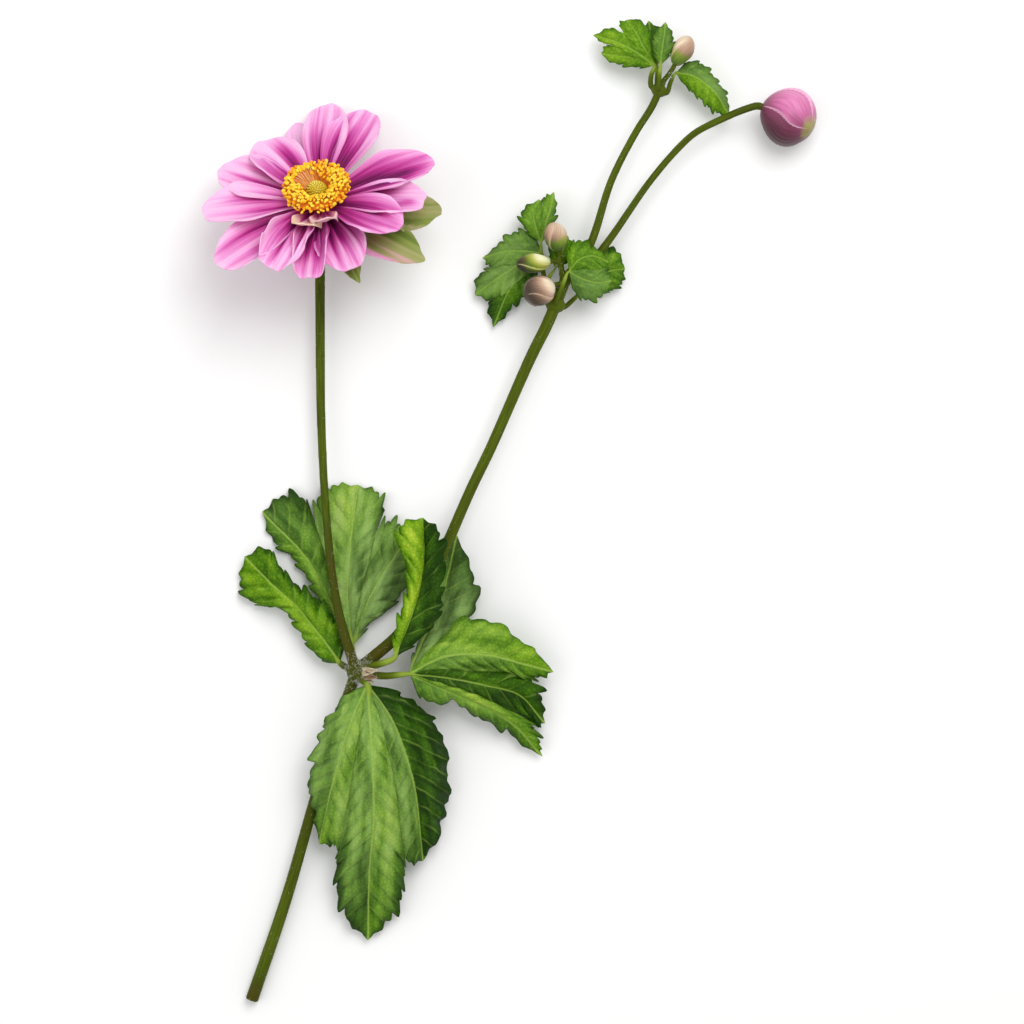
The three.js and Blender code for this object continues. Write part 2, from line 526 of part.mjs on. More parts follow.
const lowerLeftFurrow = [[3.4, 73.4, 6.2], [-2.6, 73.9, 5]];
const lowerBottomFurrow = [[4.6, 71.4, 6], [0.6, 66, 4.6]];
const lowerBracts = [
  {
    stalk: [[10.5, 63.3, 7.4], [9.4, 70.5, 6.2]],
    base: [8.8, 77.6, 6.8],
    lobes: [
      {
        rib: [[4, 74, 6.2], [-1.6, 65, 4.8], [-5.1, 56.8, 2.4]],
        left: { edge: [[7, 71.4, 5.6], [4, 67, 5], [0.2, 64, 4.2], [-3, 59.4, 3]] },
        right: { furrow: lowerBottomFurrow, edge: [[-5.4, 63.6, 3.6]] },
      },
      {
        rib: [[3, 74.4, 7], [-3.6, 70.6, 5.6], [-10, 66, 3.2]],
        left: { furrow: lowerBottomFurrow, edge: [[-6, 65.2, 3.8]] },
        right: { furrow: lowerLeftFurrow, edge: [[-8.8, 70.4, 4.2]] },
      },
      {
        rib: [[3.6, 78, 7], [-2, 78, 5.6], [-7.4, 76.6, 3.6]],
        left: { furrow: lowerLeftFurrow, edge: [[-4.8, 74.8, 4.4]] },
        right: { edge: [[7.8, 80.4, 6.6], [3.2, 83, 6], [-1.6, 80.6, 5], [-5, 78.2, 4.2]] },
      },
    ],
  },
  {
    stalk: [[9.6, 70.5, 6.2], [8.8, 77, 6.8]],
    base: [8.7, 80.6, 7.6],
    lobes: [
      {
        rib: [[7.4, 84.4, 8.4], [6.6, 88.6, 8], [7.6, 92, 7]],
        left: { edge: [[6.4, 82.6, 7.6], [4, 86.6, 7.4], [4.6, 89.8, 7]] },
        right: { furrow: [[9, 86, 8.6], [9, 90.6, 7.8]], edge: [] },
      },
      {
        rib: [[10, 86, 8.8], [11.2, 90, 8.4], [12.2, 94.2, 7]],
        left: { furrow: [[9, 86, 8.6], [9, 90.6, 7.8]], edge: [[10.2, 92.4, 7.4]] },
        right: { edge: [[10.6, 84, 8.4], [11.6, 88, 8], [12.2, 91, 7.6]] },
      },
    ],
  },
  {
    stalk: [[13, 62.3, 12.6], [15.4, 68.4, 13.9]],
    base: [17, 71.6, 14],
    lobes: [
      {
        rib: [[20, 75, 14.4], [24, 76.2, 13.2], [27.4, 75, 11.6]],
        left: { edge: [[16.6, 75.4, 14], [18.6, 79, 13.4], [23, 78.4, 12.6], [26, 76.8, 12]] },
        right: { furrow: [[20.6, 72.2, 14.2], [24.6, 72, 13]], edge: [[26.6, 73, 12]] },
      },
      {
        rib: [[20.4, 69.6, 14], [24.6, 68.4, 12.8], [28.2, 68.8, 11]],
        left: { furrow: [[20.6, 72.2, 14.2], [24.6, 72, 13]], edge: [[27.2, 70.6, 11.8]] },
        right: { edge: [[18, 67.4, 13.2], [20.8, 64.8, 12.4], [24.8, 65, 11.6], [27.4, 66.8, 11]] },
      },
    ],
  },
  {
    stalk: [[15.2, 61.1, 7.2], [18.6, 63.8, 6]],
    base: [21.2, 66.4, 5.6],
    lobes: [
      {
        rib: [[25, 69.6, 5.6], [28.8, 72, 5], [32.4, 72.8, 3.6]],
        left: { edge: [[21.6, 70.6, 5.6], [24, 75.6, 5.2], [28.6, 78.2, 4.6], [31.4, 75.6, 4]] },
        right: { edge: [[24.6, 66.2, 5], [28.8, 67, 4.2], [31.6, 69.8, 3.6]] },
      },
    ],
  },
  {
    stalk: [[10, 63.3, 8.4], [10.8, 69.4, 7.4]],
    base: [13, 73, 8],
    lobes: [
      {
        rib: [[14.2, 76, 8.6], [15.4, 78.4, 8.8], [16.2, 81, 8.6]],
        left: { edge: [[12, 75.6, 8.2], [13, 79, 8.4]] },
        right: { edge: [[15.2, 74.4, 8], [17, 78, 8.2]] },
      },
    ],
  },
];

const upperLeftFurrow = [[37, 138.5, 10.2], [33.4, 142.8, 9]];
const upperBottomFurrow = [[36.6, 135.9, 9.8], [30.9, 139.2, 8.6]];
const upperBracts = [
  {
    stalk: [[41.6, 126.9, 9.3], [41.6, 130.6, 9.6]],
    base: [42.6, 133.2, 9.8],
    lobes: [
      {
        rib: [[37.4, 135.4, 9.6], [32, 136.3, 8.4], [28.2, 137, 7]],
        left: { edge: [[38.4, 133.4, 9], [33.4, 134.5, 8], [29.6, 135.5, 7]] },
        right: { furrow: upperBottomFurrow, edge: [[29.2, 138.5, 7.6]] },
      },
      {
        rib: [[36.6, 137.4, 10.6], [31, 140.4, 9.2], [25.7, 142.2, 7]],
        left: { furrow: upperBottomFurrow, edge: [[28, 140.5, 7.8]] },
        right: { furrow: upperLeftFurrow, edge: [[29.6, 143.4, 8]] },
      },
      {
        rib: [[38.8, 139.4, 10.2], [37, 143, 9.4], [35.2, 145.8, 8.2]],
        left: { furrow: upperLeftFurrow, edge: [[33.4, 145, 8.4]] },
        right: { edge: [[42, 138, 9.8], [40.4, 143, 8.8], [37.4, 146, 8]] },
      },
    ],
  },
  {
    stalk: [[43.4, 126.1, 7.1], [43.4, 130.6, 7]],
    base: [43.4, 133.6, 7.2],
    lobes: [
      {
        rib: [[42.8, 138, 7], [41.8, 142, 6.4], [41.2, 145.6, 5.4]],
        left: { edge: [[40.8, 137.4, 6.8], [39, 142, 6]] },
        right: { edge: [[45.2, 137.6, 6.8], [44.6, 142.4, 6]] },
      },
    ],
  },
  {
    stalk: [[43.6, 126, 12], [43.9, 130, 12.6]],
    base: [44.2, 133, 12.6],
    lobes: [
      {
        rib: [[44.6, 137, 13], [45.2, 141, 12.6], [45.6, 144.4, 11.8]],
        left: { edge: [[42.6, 137, 12.4], [43, 141.6, 12]] },
        right: { edge: [[46.4, 136.4, 12.6], [47, 141, 12.2]] },
      },
    ],
  },
  {
    stalk: [[46.1, 125, 9], [47.4, 128.4, 8.4]],
    base: [49, 131.2, 8.6],
    rows: 12,
    lobes: [
      {
        rib: [[54, 130.2, 9.4], [60.2, 125.8, 8.2], [64.6, 119.4, 5.6]],
        left: { edge: [[51.6, 133.6, 8.8], [55.8, 133.4, 8.8], [59.6, 129.6, 7.6], [62.8, 125.6, 6.6]] },
        right: { edge: [[51.4, 128.4, 8.2], [55.4, 125.4, 7.8], [59.6, 122, 6.8]] },
      },
    ],
  },
];

function sheathGeometry({ middle, towards, inner, outer, height }) {
  const half = height / 2;
  const profile = [[inner, -half], [outer - 0.2, -half], [outer, half], [inner, half], [inner, -half]];
  const ring = new THREE.LatheGeometry(profile.map(([r, h]) => new THREE.Vector2(r, h)), 10);
  const axis = at(towards).sub(at(middle)).normalize();
  return ring.applyQuaternion(new THREE.Quaternion().setFromUnitVectors(new THREE.Vector3(0, 1, 0), axis))
    .translate(...middle);
}

const bractDefaults = { rows: 6, furrowRows: 3, columns: 1, tooth: 0.9, pillow: 0.5, stalkRadii: [0.9, 0.8, 0.5] };

function whorlGeometry(sheath, bracts) {
  return fused([sheathGeometry(sheath), ...bracts.flatMap((bract) => leafPieces({ ...bractDefaults, ...bract }))]);
}

const material = (color, roughness) => new THREE.MeshStandardMaterial({ color, roughness, metalness: 0 });
const leafGreen = () => material('#4f8a35', 0.62);
const bractGreen = () => material('#79a52e', 0.6);
const silkyBud = () => material('#b98f80', 0.7);

const flower = new THREE.Group();

function place(name, geometry, surface) {
  const mesh = new THREE.Mesh(geometry, surface);
  mesh.name = name;
  flower.add(mesh);
}

place('pink_petals', pinkPetals(), material('#ee9fd6', 0.55));
place('green_outer_petals', outerPetals(), material('#8d9a57', 0.6));
place('stamens', stamens(), material('#f7b90a', 0.7));
place('pistil', pistil(), material('#b5ab1e', 0.6));
place('stem', stemGeometry(), material('#55621a', 0.6));
place('front_leaf', fused(leafPieces(frontLeaf)), leafGreen());
place('right_leaf', fused(leafPieces(rightLeaf)), leafGreen());
place('upright_leaf', fused(leafPieces(uprightLeaf)), leafGreen());
place('left_leaf', fused(leafPieces(leftLeaf)), leafGreen());
place('rear_leaf', fused(leafPieces(rearLeaf)), leafGreen());
place('lower_bracts', whorlGeometry(lowerSheath, lowerBracts), bractGreen());
place('upper_bracts', whorlGeometry(upperSheath, upperBracts), bractGreen());
place('pink_bud', budGeometry(buds.pink_bud), material('#c9669f', 0.5));
place('large_bud', budGeometry(buds.large_bud), silkyBud());
place('tan_bud', budGeometry(buds.tan_bud), silkyBud());
place('green_bud', budGeometry(buds.green_bud), material('#8f9a3c', 0.65));
place('top_bud', budGeometry(buds.top_bud), silkyBud());

export default flower;
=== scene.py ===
from contextlib import contextmanager
import math
import random
import bpy
from mathutils import Matrix, Quaternion, Vector, noise
from mathutils.kdtree import KDTree


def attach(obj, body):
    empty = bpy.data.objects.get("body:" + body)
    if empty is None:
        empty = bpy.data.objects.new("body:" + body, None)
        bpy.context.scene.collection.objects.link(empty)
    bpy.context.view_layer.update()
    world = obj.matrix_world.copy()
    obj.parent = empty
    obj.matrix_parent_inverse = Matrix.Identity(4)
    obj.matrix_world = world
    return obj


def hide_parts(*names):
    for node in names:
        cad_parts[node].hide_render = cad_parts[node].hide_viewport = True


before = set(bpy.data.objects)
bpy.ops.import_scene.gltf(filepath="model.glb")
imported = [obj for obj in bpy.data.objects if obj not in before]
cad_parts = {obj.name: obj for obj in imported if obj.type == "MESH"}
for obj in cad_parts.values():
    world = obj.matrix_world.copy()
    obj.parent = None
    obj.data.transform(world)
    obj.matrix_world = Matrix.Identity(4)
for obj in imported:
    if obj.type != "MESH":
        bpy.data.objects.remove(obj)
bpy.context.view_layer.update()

# A picked stem of Japanese anemone lying on its surface, seen from straight above.
# All sizes below are millimetres; a point is scaled to metres when it goes into a mesh.
mm = 0.001

# Camera: straight above, as the photograph looks straight at the standing plant
cameraSettings = dict(place=(0.0, 0.0, 1215.0), lens=142.0, near=0.05, far=20)
bpy.ops.object.camera_add(location=Vector(cameraSettings["place"]) * mm, rotation=(0, 0, 0))
camera = bpy.context.object
camera.name = "camera"
camera.data.lens = cameraSettings["lens"]
camera.data.clip_start = cameraSettings["near"]
camera.data.clip_end = cameraSettings["far"]
bpy.context.scene.camera = camera

# Plain studio: one large soft key from above the flower, a weak fill from the left, pale floor
studio = dict(surround=0.63, floorSize=3.0, floorColour="#f8f8f7", lights=[
    dict(name="keyLight", place=(230, 460, 800), size=620, power=5.1),
    dict(name="fillLight", place=(-620, -120, 620), size=700, power=1.5),
])
for light in studio["lights"]:
    spot = Vector(light["place"]) * mm
    bpy.ops.object.light_add(type="AREA", location=spot, rotation=(-spot).to_track_quat("-Z", "Y").to_euler())
    lamp = bpy.context.object
    lamp.name = light["name"]
    lamp.data.size = light["size"] * mm
    lamp.data.energy = light["power"]

world = bpy.data.worlds.new("studio")
world.use_nodes = True
world.node_tree.nodes["Background"].inputs["Color"].default_value = (1.0, 1.0, 1.0, 1.0)
world.node_tree.nodes["Background"].inputs["Strength"].default_value = studio["surround"]
bpy.context.scene.world = world
bpy.context.scene.view_settings.view_transform = "Standard"
print("camera and lights done")

# Materials


def linear(code):
    # sRGB hex to the linear colour that a shader takes
    parts = [int(code[i:i + 2], 16) / 255 for i in (1, 3, 5)]
    return tuple(p / 12.92 if p <= 0.04045 else ((p + 0.055) / 1.055) ** 2.4 for p in parts) + (1.0,)


def addNode(tree, kind, links=None, values=None, stops=None, out=0, **settings):
    # adds a node with its own settings, the values of its sockets, its colour stops and what is linked
    # into it, and gives back one of its outputs
    made = tree.nodes.new("ShaderNode" + kind)
    for name, value in settings.items():
        setattr(made, name, value)
    for socket, value in (values or {}).items():
        made.inputs[socket].default_value = value
    if stops:
        ramp = made.color_ramp
        while len(ramp.elements) < len(stops):
            ramp.elements.new(0.5)
        for element, (place, code) in zip(ramp.elements, stops):
            element.position = place
            element.color = linear(code)
    for socket, source in (links or {}).items():
        tree.links.new(source, made.inputs[socket])
    return made.outputs[out]


def newMaterial(name, **values):
    # a material whose even values stand on the shader's own sockets
    material = bpy.data.materials.new(name)
    material.use_nodes = True
    for socket, value in values.items():
        material.node_tree.nodes["Principled BSDF"].inputs[socket.replace("_", " ")].default_value = value
    return material, material.node_tree


def drawnOut(tree, place, scale, detail):
    # streaks, ridges or silk: a noise that is stretched along the piece
    along = addNode(tree, "Mapping", {0: place}, {"Scale": scale})
    return addNode(tree, "TexNoise", {"Vector": along}, {"Scale": 1.0, "Detail": detail})


def surfaced(material, colour, height, strength, depth, grain=None, gloss=None):
    # colour and fine relief go to the shader, and a roughness that the grain varies between two glosses
    tree = material.node_tree
    bump = addNode(tree, "Bump", {"Height": height}, {"Strength": strength, "Distance": depth})
    sources = {"Base Color": colour, "Normal": bump}
    if gloss:
        sources["Roughness"] = addNode(tree, "MapRange", {0: grain}, {1: 0.3, 2: 0.7, 3: gloss[0], 4: gloss[1]})
    for socket, source in sources.items():
        tree.links.new(source, tree.nodes["Principled BSDF"].inputs[socket])
    return material


def leafMaterial(name, stops, vein, dustAndSheenColour, roughness, relief, veins):
    # Anemone leaf: thin, matt, with a grey bloom and a painted pale sheen. Pale sunken veins, crinkled tissue
    # between them.
    # "blade" holds mm out from the rib and mm along it; tone and the mark of grey bloom and painted sheen are
    # painted per lobe.
    # Tone is partly painted light and shade.
    material, tree = newMaterial(
        name, IOR=1.42, Specular_IOR_Level=0.1, Subsurface_Weight=0.06, Subsurface_Scale=0.0008)
    place = addNode(tree, "TexCoord", out="Object")
    blade = addNode(tree, "UVMap", uv_map="blade")
    out, lean = (addNode(tree, "SeparateXYZ", {0: blade}, out=part) for part in ("X", "Y"))
    margin, tone, dust, folded, puffed = (
        addNode(tree, "Attribute", attribute_name=mark, out="Fac")
        for mark in ("margin", "tone", "dust", "fold", "puffed"))
    sway, patches, grain = (
        addNode(tree, "TexNoise", {"Vector": place}, {"Scale": scale, "Detail": detail})
        for scale, detail in ((140.0, 1.0), (75.0, 3.0), (900.0, 2.0)))
    # net of the finest veins, cells of about 1.2 mm
    net = addNode(tree, "TexVoronoi", {"Vector": place}, {"Scale": 850.0}, feature="DISTANCE_TO_EDGE")
    drifts = drawnOut(tree, blade, (0.3, 0.06, 1.0), 2.0)
    uneven, inside, cells, patches, shaded, dustAndSheenPowder = (
        addNode(tree, "MapRange", {0: source}, dict(enumerate(bounds, 1)))
        for source, bounds in (
            (sway, (0.4, 0.62, 0.25, 1.0)), (margin, (1.0, 0.8, 0.15 * veins["share"], veins["share"])),
            (net, (0.0, 0.22, 0.0, 1.0)), (patches, (0.33, 0.67, 0.16, 0.36)),
            (drifts, (0.36, 0.64, -0.2, 0.14)), (drifts, (0.36, 0.66, 0.2, 0.9))))

    # side veins leave the rib every few mm and lean towards the tip
    for source, share in ((sway, 2.4), (out, -veins["slant"])):
        lean = addNode(tree, "Math", {0: source, 2: lean}, {1: share}, operation="MULTIPLY_ADD")
    turns = addNode(tree, "Math", {0: lean}, {1: 1 / veins["spacing"]}, operation="MULTIPLY")
    apart = addNode(tree, "Math", {0: turns}, {1: 0.5}, operation="PINGPONG")
    sideLine, ribLine = (
        addNode(tree, "MapRange", {0: source}, dict(enumerate(bounds, 1)), interpolation_type="SMOOTHSTEP")
        for source, bounds in (
            (apart, (0.1, 0.015, 0.0, 0.4)), (out, (veins["rib"], veins["rib"] * 0.25, 0.0, 1.0))))
    lines = addNode(tree, "Math", {0: sideLine, 1: uneven}, operation="MULTIPLY")
    lines = addNode(tree, "Math", {0: lines, 1: ribLine}, operation="MAXIMUM")
    lines = addNode(tree, "Math", {0: folded, 2: lines}, {1: 0.35}, operation="MULTIPLY_ADD", use_clamp=True)
    lines = addNode(tree, "Math", {0: lines, 1: inside}, operation="MULTIPLY")

    # tone picks the green: dark, middle or yellow, darker along the margin and in the net of veins;
    # the puffed mark adds painted light on the cushions between the veins and painted shade in the creases along
    # them
    edge = addNode(tree, "Math", {0: margin}, {1: 6.0}, operation="POWER")
    value = patches
    for source, share in (
            (tone, 1.0), (shaded, 1.0), (puffed, 0.11), (grain, 0.1), (cells, 0.12), (edge, -0.3)):
        value = addNode(tree, "Math", {0: source, 2: value}, {1: share}, operation="MULTIPLY_ADD")
    green = addNode(tree, "ValToRGB", {0: value}, stops=stops)
    # grey bloom together with a painted pale sheen, laid in long drifts along the lobe
    dustAndSheenPowder = addNode(tree, "Math", {0: dust, 1: dustAndSheenPowder}, operation="MULTIPLY")
    for share, colour in ((dustAndSheenPowder, dustAndSheenColour), (lines, vein)):
        green = addNode(tree, "Mix", {0: share, 6: green}, {7: linear(colour)}, data_type="RGBA", out=2)
    height = addNode(tree, "Math", {0: lines, 2: cells}, {1: -1.6}, operation="MULTIPLY_ADD")
    return surfaced(material, green, height, relief, 0.00016, grain, (roughness - 0.08, roughness + 0.1))


def petalMaterial(name, stops, level, roughness, rimShare=-0.28, streakShare=0.27):
    # Petal: satin, a little see-through, with a faint shimmer. Magenta runs out from the foot in
    # streaks and along the folds and fades to a pale edge. "blade" holds place across and along.
    material, tree = newMaterial(
        name, IOR=1.4, Specular_IOR_Level=0.15, Subsurface_Weight=0.2, Subsurface_Scale=0.001)
    blade = addNode(tree, "UVMap", uv_map="blade")
    length = addNode(tree, "SeparateXYZ", {0: blade}, out="Y")
    margin, fold, tone, cream = (
        addNode(tree, "Attribute", attribute_name=mark, out="Fac") for mark in ("margin", "fold", "tone", "cream"))
    broad, fine = drawnOut(tree, blade, (3.6, 0.8, 1.0), 1.0), drawnOut(tree, blade, (20.0, 1.3, 1.0), 2.0)
    streaks, threads = (
        addNode(tree, "MapRange", {0: source}, {1: 0.34, 2: 0.66, 3: -0.5, 4: 0.5}) for source in (broad, fine))
    value = addNode(tree, "MapRange", {0: length}, {1: 0.98, 2: 0.12, 3: level, 4: level + 0.58},
                    interpolation_type="SMOOTHSTEP")
    rim = addNode(tree, "Math", {0: margin}, {1: 3.0}, operation="POWER")
    for source, share in ((fold, -0.2), (streaks, streakShare), (threads, 0.15), (tone, 0.5), (rim, rimShare)):
        value = addNode(tree, "Math", {0: source, 2: value}, {1: share}, operation="MULTIPLY_ADD")
    pink = addNode(tree, "ValToRGB", {0: value}, stops=stops)
    pink = addNode(tree, "Mix", {0: cream, 6: pink}, {7: linear("#efdcb4")}, data_type="RGBA", out=2)
    return surfaced(material, pink, fine, 0.5, 0.0003, fine, (roughness - 0.06, roughness + 0.08))


def fleckedMaterial(name, stops, scale, relief, roughness, subsurface=0.1):
    # small plump parts: a tone painted per part, flecked with a fine noise
    material, tree = newMaterial(name, Roughness=roughness, IOR=1.45, Specular_IOR_Level=0.4,
                                 Subsurface_Weight=subsurface, Subsurface_Scale=0.0006)
    place = addNode(tree, "TexCoord", out="Object")
    tone = addNode(tree, "Attribute", attribute_name="tone", out="Fac")
    flecks = addNode(tree, "TexNoise", {"Vector": place}, {"Scale": scale, "Detail": 2.0})
    value = addNode(tree, "Math", {0: flecks, 2: tone}, {1: 0.45}, operation="MULTIPLY_ADD")
    colour = addNode(tree, "ValToRGB", {0: value}, stops=stops)
    return surfaced(material, colour, flecks, relief, 0.0001)


def budMaterial(name, stops, otherStops, seam, roughness):
    # Bud: outer petals folded tight, with long silky hairs pressed flat on them. "blade" holds place
    # round and along; tone is painted light and shade, from the shaded side to the lit side and darker under
    # each petal's edge; fold marks a petal's pale edge, and other is where the second colour shows: green at
    # the foot or brown at the tip.
    material, tree = newMaterial(name, IOR=1.42, Specular_IOR_Level=0.4, Sheen_Weight=0.12, Sheen_Roughness=0.35,
                                 Subsurface_Weight=0.12, Subsurface_Scale=0.001)
    blade = addNode(tree, "UVMap", uv_map="blade")
    tone, fold, other = (
        addNode(tree, "Attribute", attribute_name=mark, out="Fac") for mark in ("tone", "fold", "other"))
    silk = drawnOut(tree, blade, (26.0, 2.0, 1.0), 3.0)
    value = addNode(tree, "Math", {0: silk, 2: tone}, {1: 0.4}, operation="MULTIPLY_ADD")
    first, second = (addNode(tree, "ValToRGB", {0: value}, stops=ramp) for ramp in (stops, otherStops))
    colour = addNode(tree, "Mix", {0: other, 6: first, 7: second}, data_type="RGBA", out=2)
    colour = addNode(tree, "Mix", {0: fold, 6: colour}, {7: linear(seam)}, data_type="RGBA", out=2)
    return surfaced(material, colour, silk, 0.4, 0.00012, silk, (roughness - 0.08, roughness + 0.1))


def stemMaterial(name, stops):
    # Stem: olive green with fine ridges along it, brown near the leaf node and the cut end.
    # "unrolled" holds mm across the stem and mm along it.
    material, tree = newMaterial(
        name, IOR=1.42, Specular_IOR_Level=0.12, Subsurface_Weight=0.05, Subsurface_Scale=0.0006)
    unrolled = addNode(tree, "Attribute", attribute_name="unrolled", out="Vector")
    tone = addNode(tree, "Attribute", attribute_name="tone", out="Fac")
    ridges = drawnOut(tree, unrolled, (2.4, 2.4, 0.12), 3.0)
    value = addNode(tree, "Math", {0: ridges, 2: tone}, {1: 0.5}, operation="MULTIPLY_ADD")
    colour = addNode(tree, "ValToRGB", {0: value}, stops=stops)
    return surfaced(material, colour, ridges, 0.35, 0.0002, ridges, (0.45, 0.62))


leafStops = [(0.0, "#173500"), (0.28, "#325a00"), (0.5, "#568206"), (0.7, "#7ca31c"), (0.95, "#b0c838")]
underStops = [(0.0, "#4d7334"), (0.5, "#759a55"), (0.95, "#a5c07c")]
# mm between side veins, their lean, the rib's half width in mm, and how strongly all veins show
leafVeins = dict(spacing=5.2, slant=0.95, rib=0.5, share=0.7)
bractVeins = dict(spacing=3.4, slant=0.9, rib=0.36, share=0.5)
leafTop = leafMaterial("leafTop", leafStops, "#98b84e", "#94b368", 0.44, 0.6, leafVeins)
bractTop = leafMaterial("bractTop", leafStops, "#98ba48", "#82a05c", 0.46, 0.5, bractVeins)
leafUnder, bractUnder = (leafMaterial(name, underStops, "#b3c890", "#a9bd92", 0.6, 0.4, veins)
                         for name, veins in (("leafUnder", leafVeins), ("bractUnder", bractVeins)))
petalFace = petalMaterial("petalSatin", [
    (0.0, "#f4bde2"), (0.22, "#e99ad1"), (0.45, "#d266b0"), (0.7, "#b02f86"), (0.98, "#6e1a54")], 0.1, 0.5, -0.22)
petalBack = petalMaterial("petalSatinBack", [
    (0.0, "#efc0e0"), (0.35, "#e19fce"), (0.65, "#cc76b2"), (0.98, "#a04c84")], 0.1, 0.55)
tepalFace = petalMaterial("greenTepal", [
    (0.0, "#e0a0c4"), (0.16, "#c9a99c"), (0.32, "#a3a56e"), (0.6, "#86984a"), (0.98, "#4c6a22")],
    0.46, 0.55, -0.06, 0.22)
tepalBack = petalMaterial("greenTepalBack", [
    (0.0, "#dbb4c4"), (0.3, "#a9ae84"), (0.6, "#809455"), (0.98, "#56702c")], 0.46, 0.6, -0.06, 0.22)
pollen = fleckedMaterial("pollenGold", [
    (0.0, "#dc4c1e"), (0.2, "#f08a0c"), (0.42, "#fcba0c"), (0.82, "#ffe64a")], 2600.0, 0.7, 0.7)
thread = fleckedMaterial("filamentPeach", [
    (0.0, "#d96a2c"), (0.4, "#f0a05a"), (0.85, "#f7cf8e")], 900.0, 0.1, 0.5, 0.3)
carpel = fleckedMaterial("carpelGreen", [
    (0.0, "#8a7604"), (0.3, "#c2a60a"), (0.55, "#e8cf1c"), (0.9, "#f9ec86")], 1800.0, 0.3, 0.5)
stemSkin = stemMaterial("stemSkin", [
    (0.0, "#2a1e0a"), (0.22, "#4c3c12"), (0.42, "#3f4a06"), (0.66, "#586a0e"), (0.9, "#869c38")])
hairWhite = fleckedMaterial("hairWhite", [(0.0, "#cfc9bb"), (0.85, "#f2efe6")], 500.0, 0.0, 0.6, 0.2)
scaleBrown = fleckedMaterial("stipuleBrown", [
    (0.0, "#4a2f22"), (0.4, "#7a6044"), (0.9, "#cdbf9f")], 900.0, 0.5, 0.75)
pinkSilk = budMaterial("pinkBudSilk", [
    (0.0, "#3e1828"), (0.26, "#642a42"), (0.5, "#944669"), (0.74, "#cc70a2"), (0.98, "#f2a4cc")],
    [(0.0, "#5e4a28"), (0.5, "#9c9450"), (1.0, "#dcd8a0")], "#f0bcd8", 0.42)
tanSilk = budMaterial("tanBudSilk", [
    (0.0, "#46382a"), (0.26, "#63503f"), (0.5, "#886a55"), (0.74, "#bb9a80"), (0.98, "#ead8bc")],
    [(0.0, "#24380a"), (0.4, "#527018"), (0.75, "#98a43a"), (1.0, "#d2cf8c")], "#d0b79c", 0.46)
greenSilk = budMaterial("greenBudSilk", [
    (0.0, "#34400c"), (0.26, "#56690e"), (0.5, "#829222"), (0.74, "#b4b452"), (0.98, "#ecebc0")],
    [(0.0, "#2c2412"), (0.45, "#6a5030"), (1.0, "#c79a62")], "#d0cf8a", 0.45)
print("materials done")

# Small helpers for modelling


def selectOnly(*pieces):
    bpy.ops.object.select_all(action="DESELECT")
    for piece in pieces:
        piece.select_set(True)
    bpy.context.view_layer.objects.active = pieces[0]


@contextmanager
def editing(piece):
    # the piece in edit mode, selected all over
    selectOnly(piece)
    bpy.ops.object.mode_set(mode="EDIT")
    bpy.ops.mesh.select_all(action="SELECT")
    yield
    bpy.ops.object.mode_set(mode="OBJECT")


def joined(pieces, name):
    selectOnly(*pieces)
    if len(pieces) > 1:
        bpy.ops.object.join()
    whole = bpy.context.object
    whole.name = name
    whole.data.name = name
    bpy.ops.object.transform_apply(location=True, rotation=True, scale=True)
    return whole


def applied(piece, kind, **settings):
    selectOnly(piece)
    modifier = piece.modifiers.new(kind.lower(), kind)
    for name, value in settings.items():
        setattr(modifier, name, value)
    bpy.ops.object.modifier_apply(modifier=modifier.name)


def cleaned(piece, distance=0.02, towards=None):
    # doubles merged, then the faces turned outwards, or those of an open sheet towards one side
    with editing(piece):
        bpy.ops.mesh.remove_doubles(threshold=distance * mm)
        bpy.ops.mesh.dissolve_degenerate(threshold=0.002 * mm)
        bpy.ops.mesh.normals_make_consistent(inside=False)
    if towards is not None and sum(face.normal.dot(towards) * face.area for face in piece.data.polygons) < 0:
        with editing(piece):
            bpy.ops.mesh.flip_normals()


def smoothShaded(piece, degrees=60):
    selectOnly(piece)
    bpy.ops.object.shade_smooth_by_angle(angle=math.radians(degrees))


def painted(piece, **marks):
    # numbers for the materials to read: one for all vertices, or a list with one for each
    for name, values in marks.items():
        if not isinstance(values, list):
            values = [values] * len(piece.data.vertices)
        layer = piece.data.attributes.get(name) or piece.data.attributes.new(name, "FLOAT", "POINT")
        layer.data.foreach_set("value", values)


def shaped(piece, name, place):
    # moves each vertex to the point in mm that place gives for it, and keeps the marks that come with
    # the point; the mark "blade" becomes the UV map
    piece.name = name
    marks = {}
    for vertex in piece.data.vertices:
        point, values = place(vertex.co)
        vertex.co = point * mm
        for mark, value in values.items():
            marks.setdefault(mark, []).append(value)
    blade = marks.pop("blade", None)
    if blade:
        layer = piece.data.uv_layers[0]
        layer.name = "blade"
        for loop in piece.data.loops:
            layer.data[loop.index].uv = blade[loop.vertex_index]
    painted(piece, **marks)
    return piece


def shapedGrid(columns, rows, name, place):
    bpy.ops.mesh.primitive_grid_add(x_subdivisions=columns, y_subdivisions=rows, size=1)
    return shaped(bpy.context.object, name, place)


def finished(piece, node, slot, *materials):
    # gives the piece its finish, hides the CAD node that it stands for and hangs the piece under the root body
    if materials:
        piece.data.materials.clear()
    for material in materials:
        piece.data.materials.append(material)
    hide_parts(node)
    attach(piece, "root")


def smooth(low, high, value):
    share = min(max((value - low) / (high - low), 0.0), 1.0)
    return share * share * (3 - 2 * share)


def bell(value, middle, width):
    return math.exp(-((value - middle) / width) ** 2)


def lerp(a, b, share):
    return a + (b - a) * share


def listed(values, share):
    # a value read smoothly along an evenly spaced list
    place = min(max(share, 0.0), 1.0) * (len(values) - 1)
    index = min(int(place), len(values) - 2)
    u = place - index
    a, b = values[index], values[index + 1]
    before = values[index - 1] if index > 0 else 2 * a - b
    after = values[index + 2] if index + 2 < len(values) else 2 * b - a
    bend = 2 * before - 5 * a + 4 * b - after
    return a + 0.5 * u * (b - before + u * (bend + u * (3 * (a - b) + after - before)))


def lengthOf(points):
    return sum((Vector(b) - Vector(a)).length for a, b in zip(points, points[1:]))


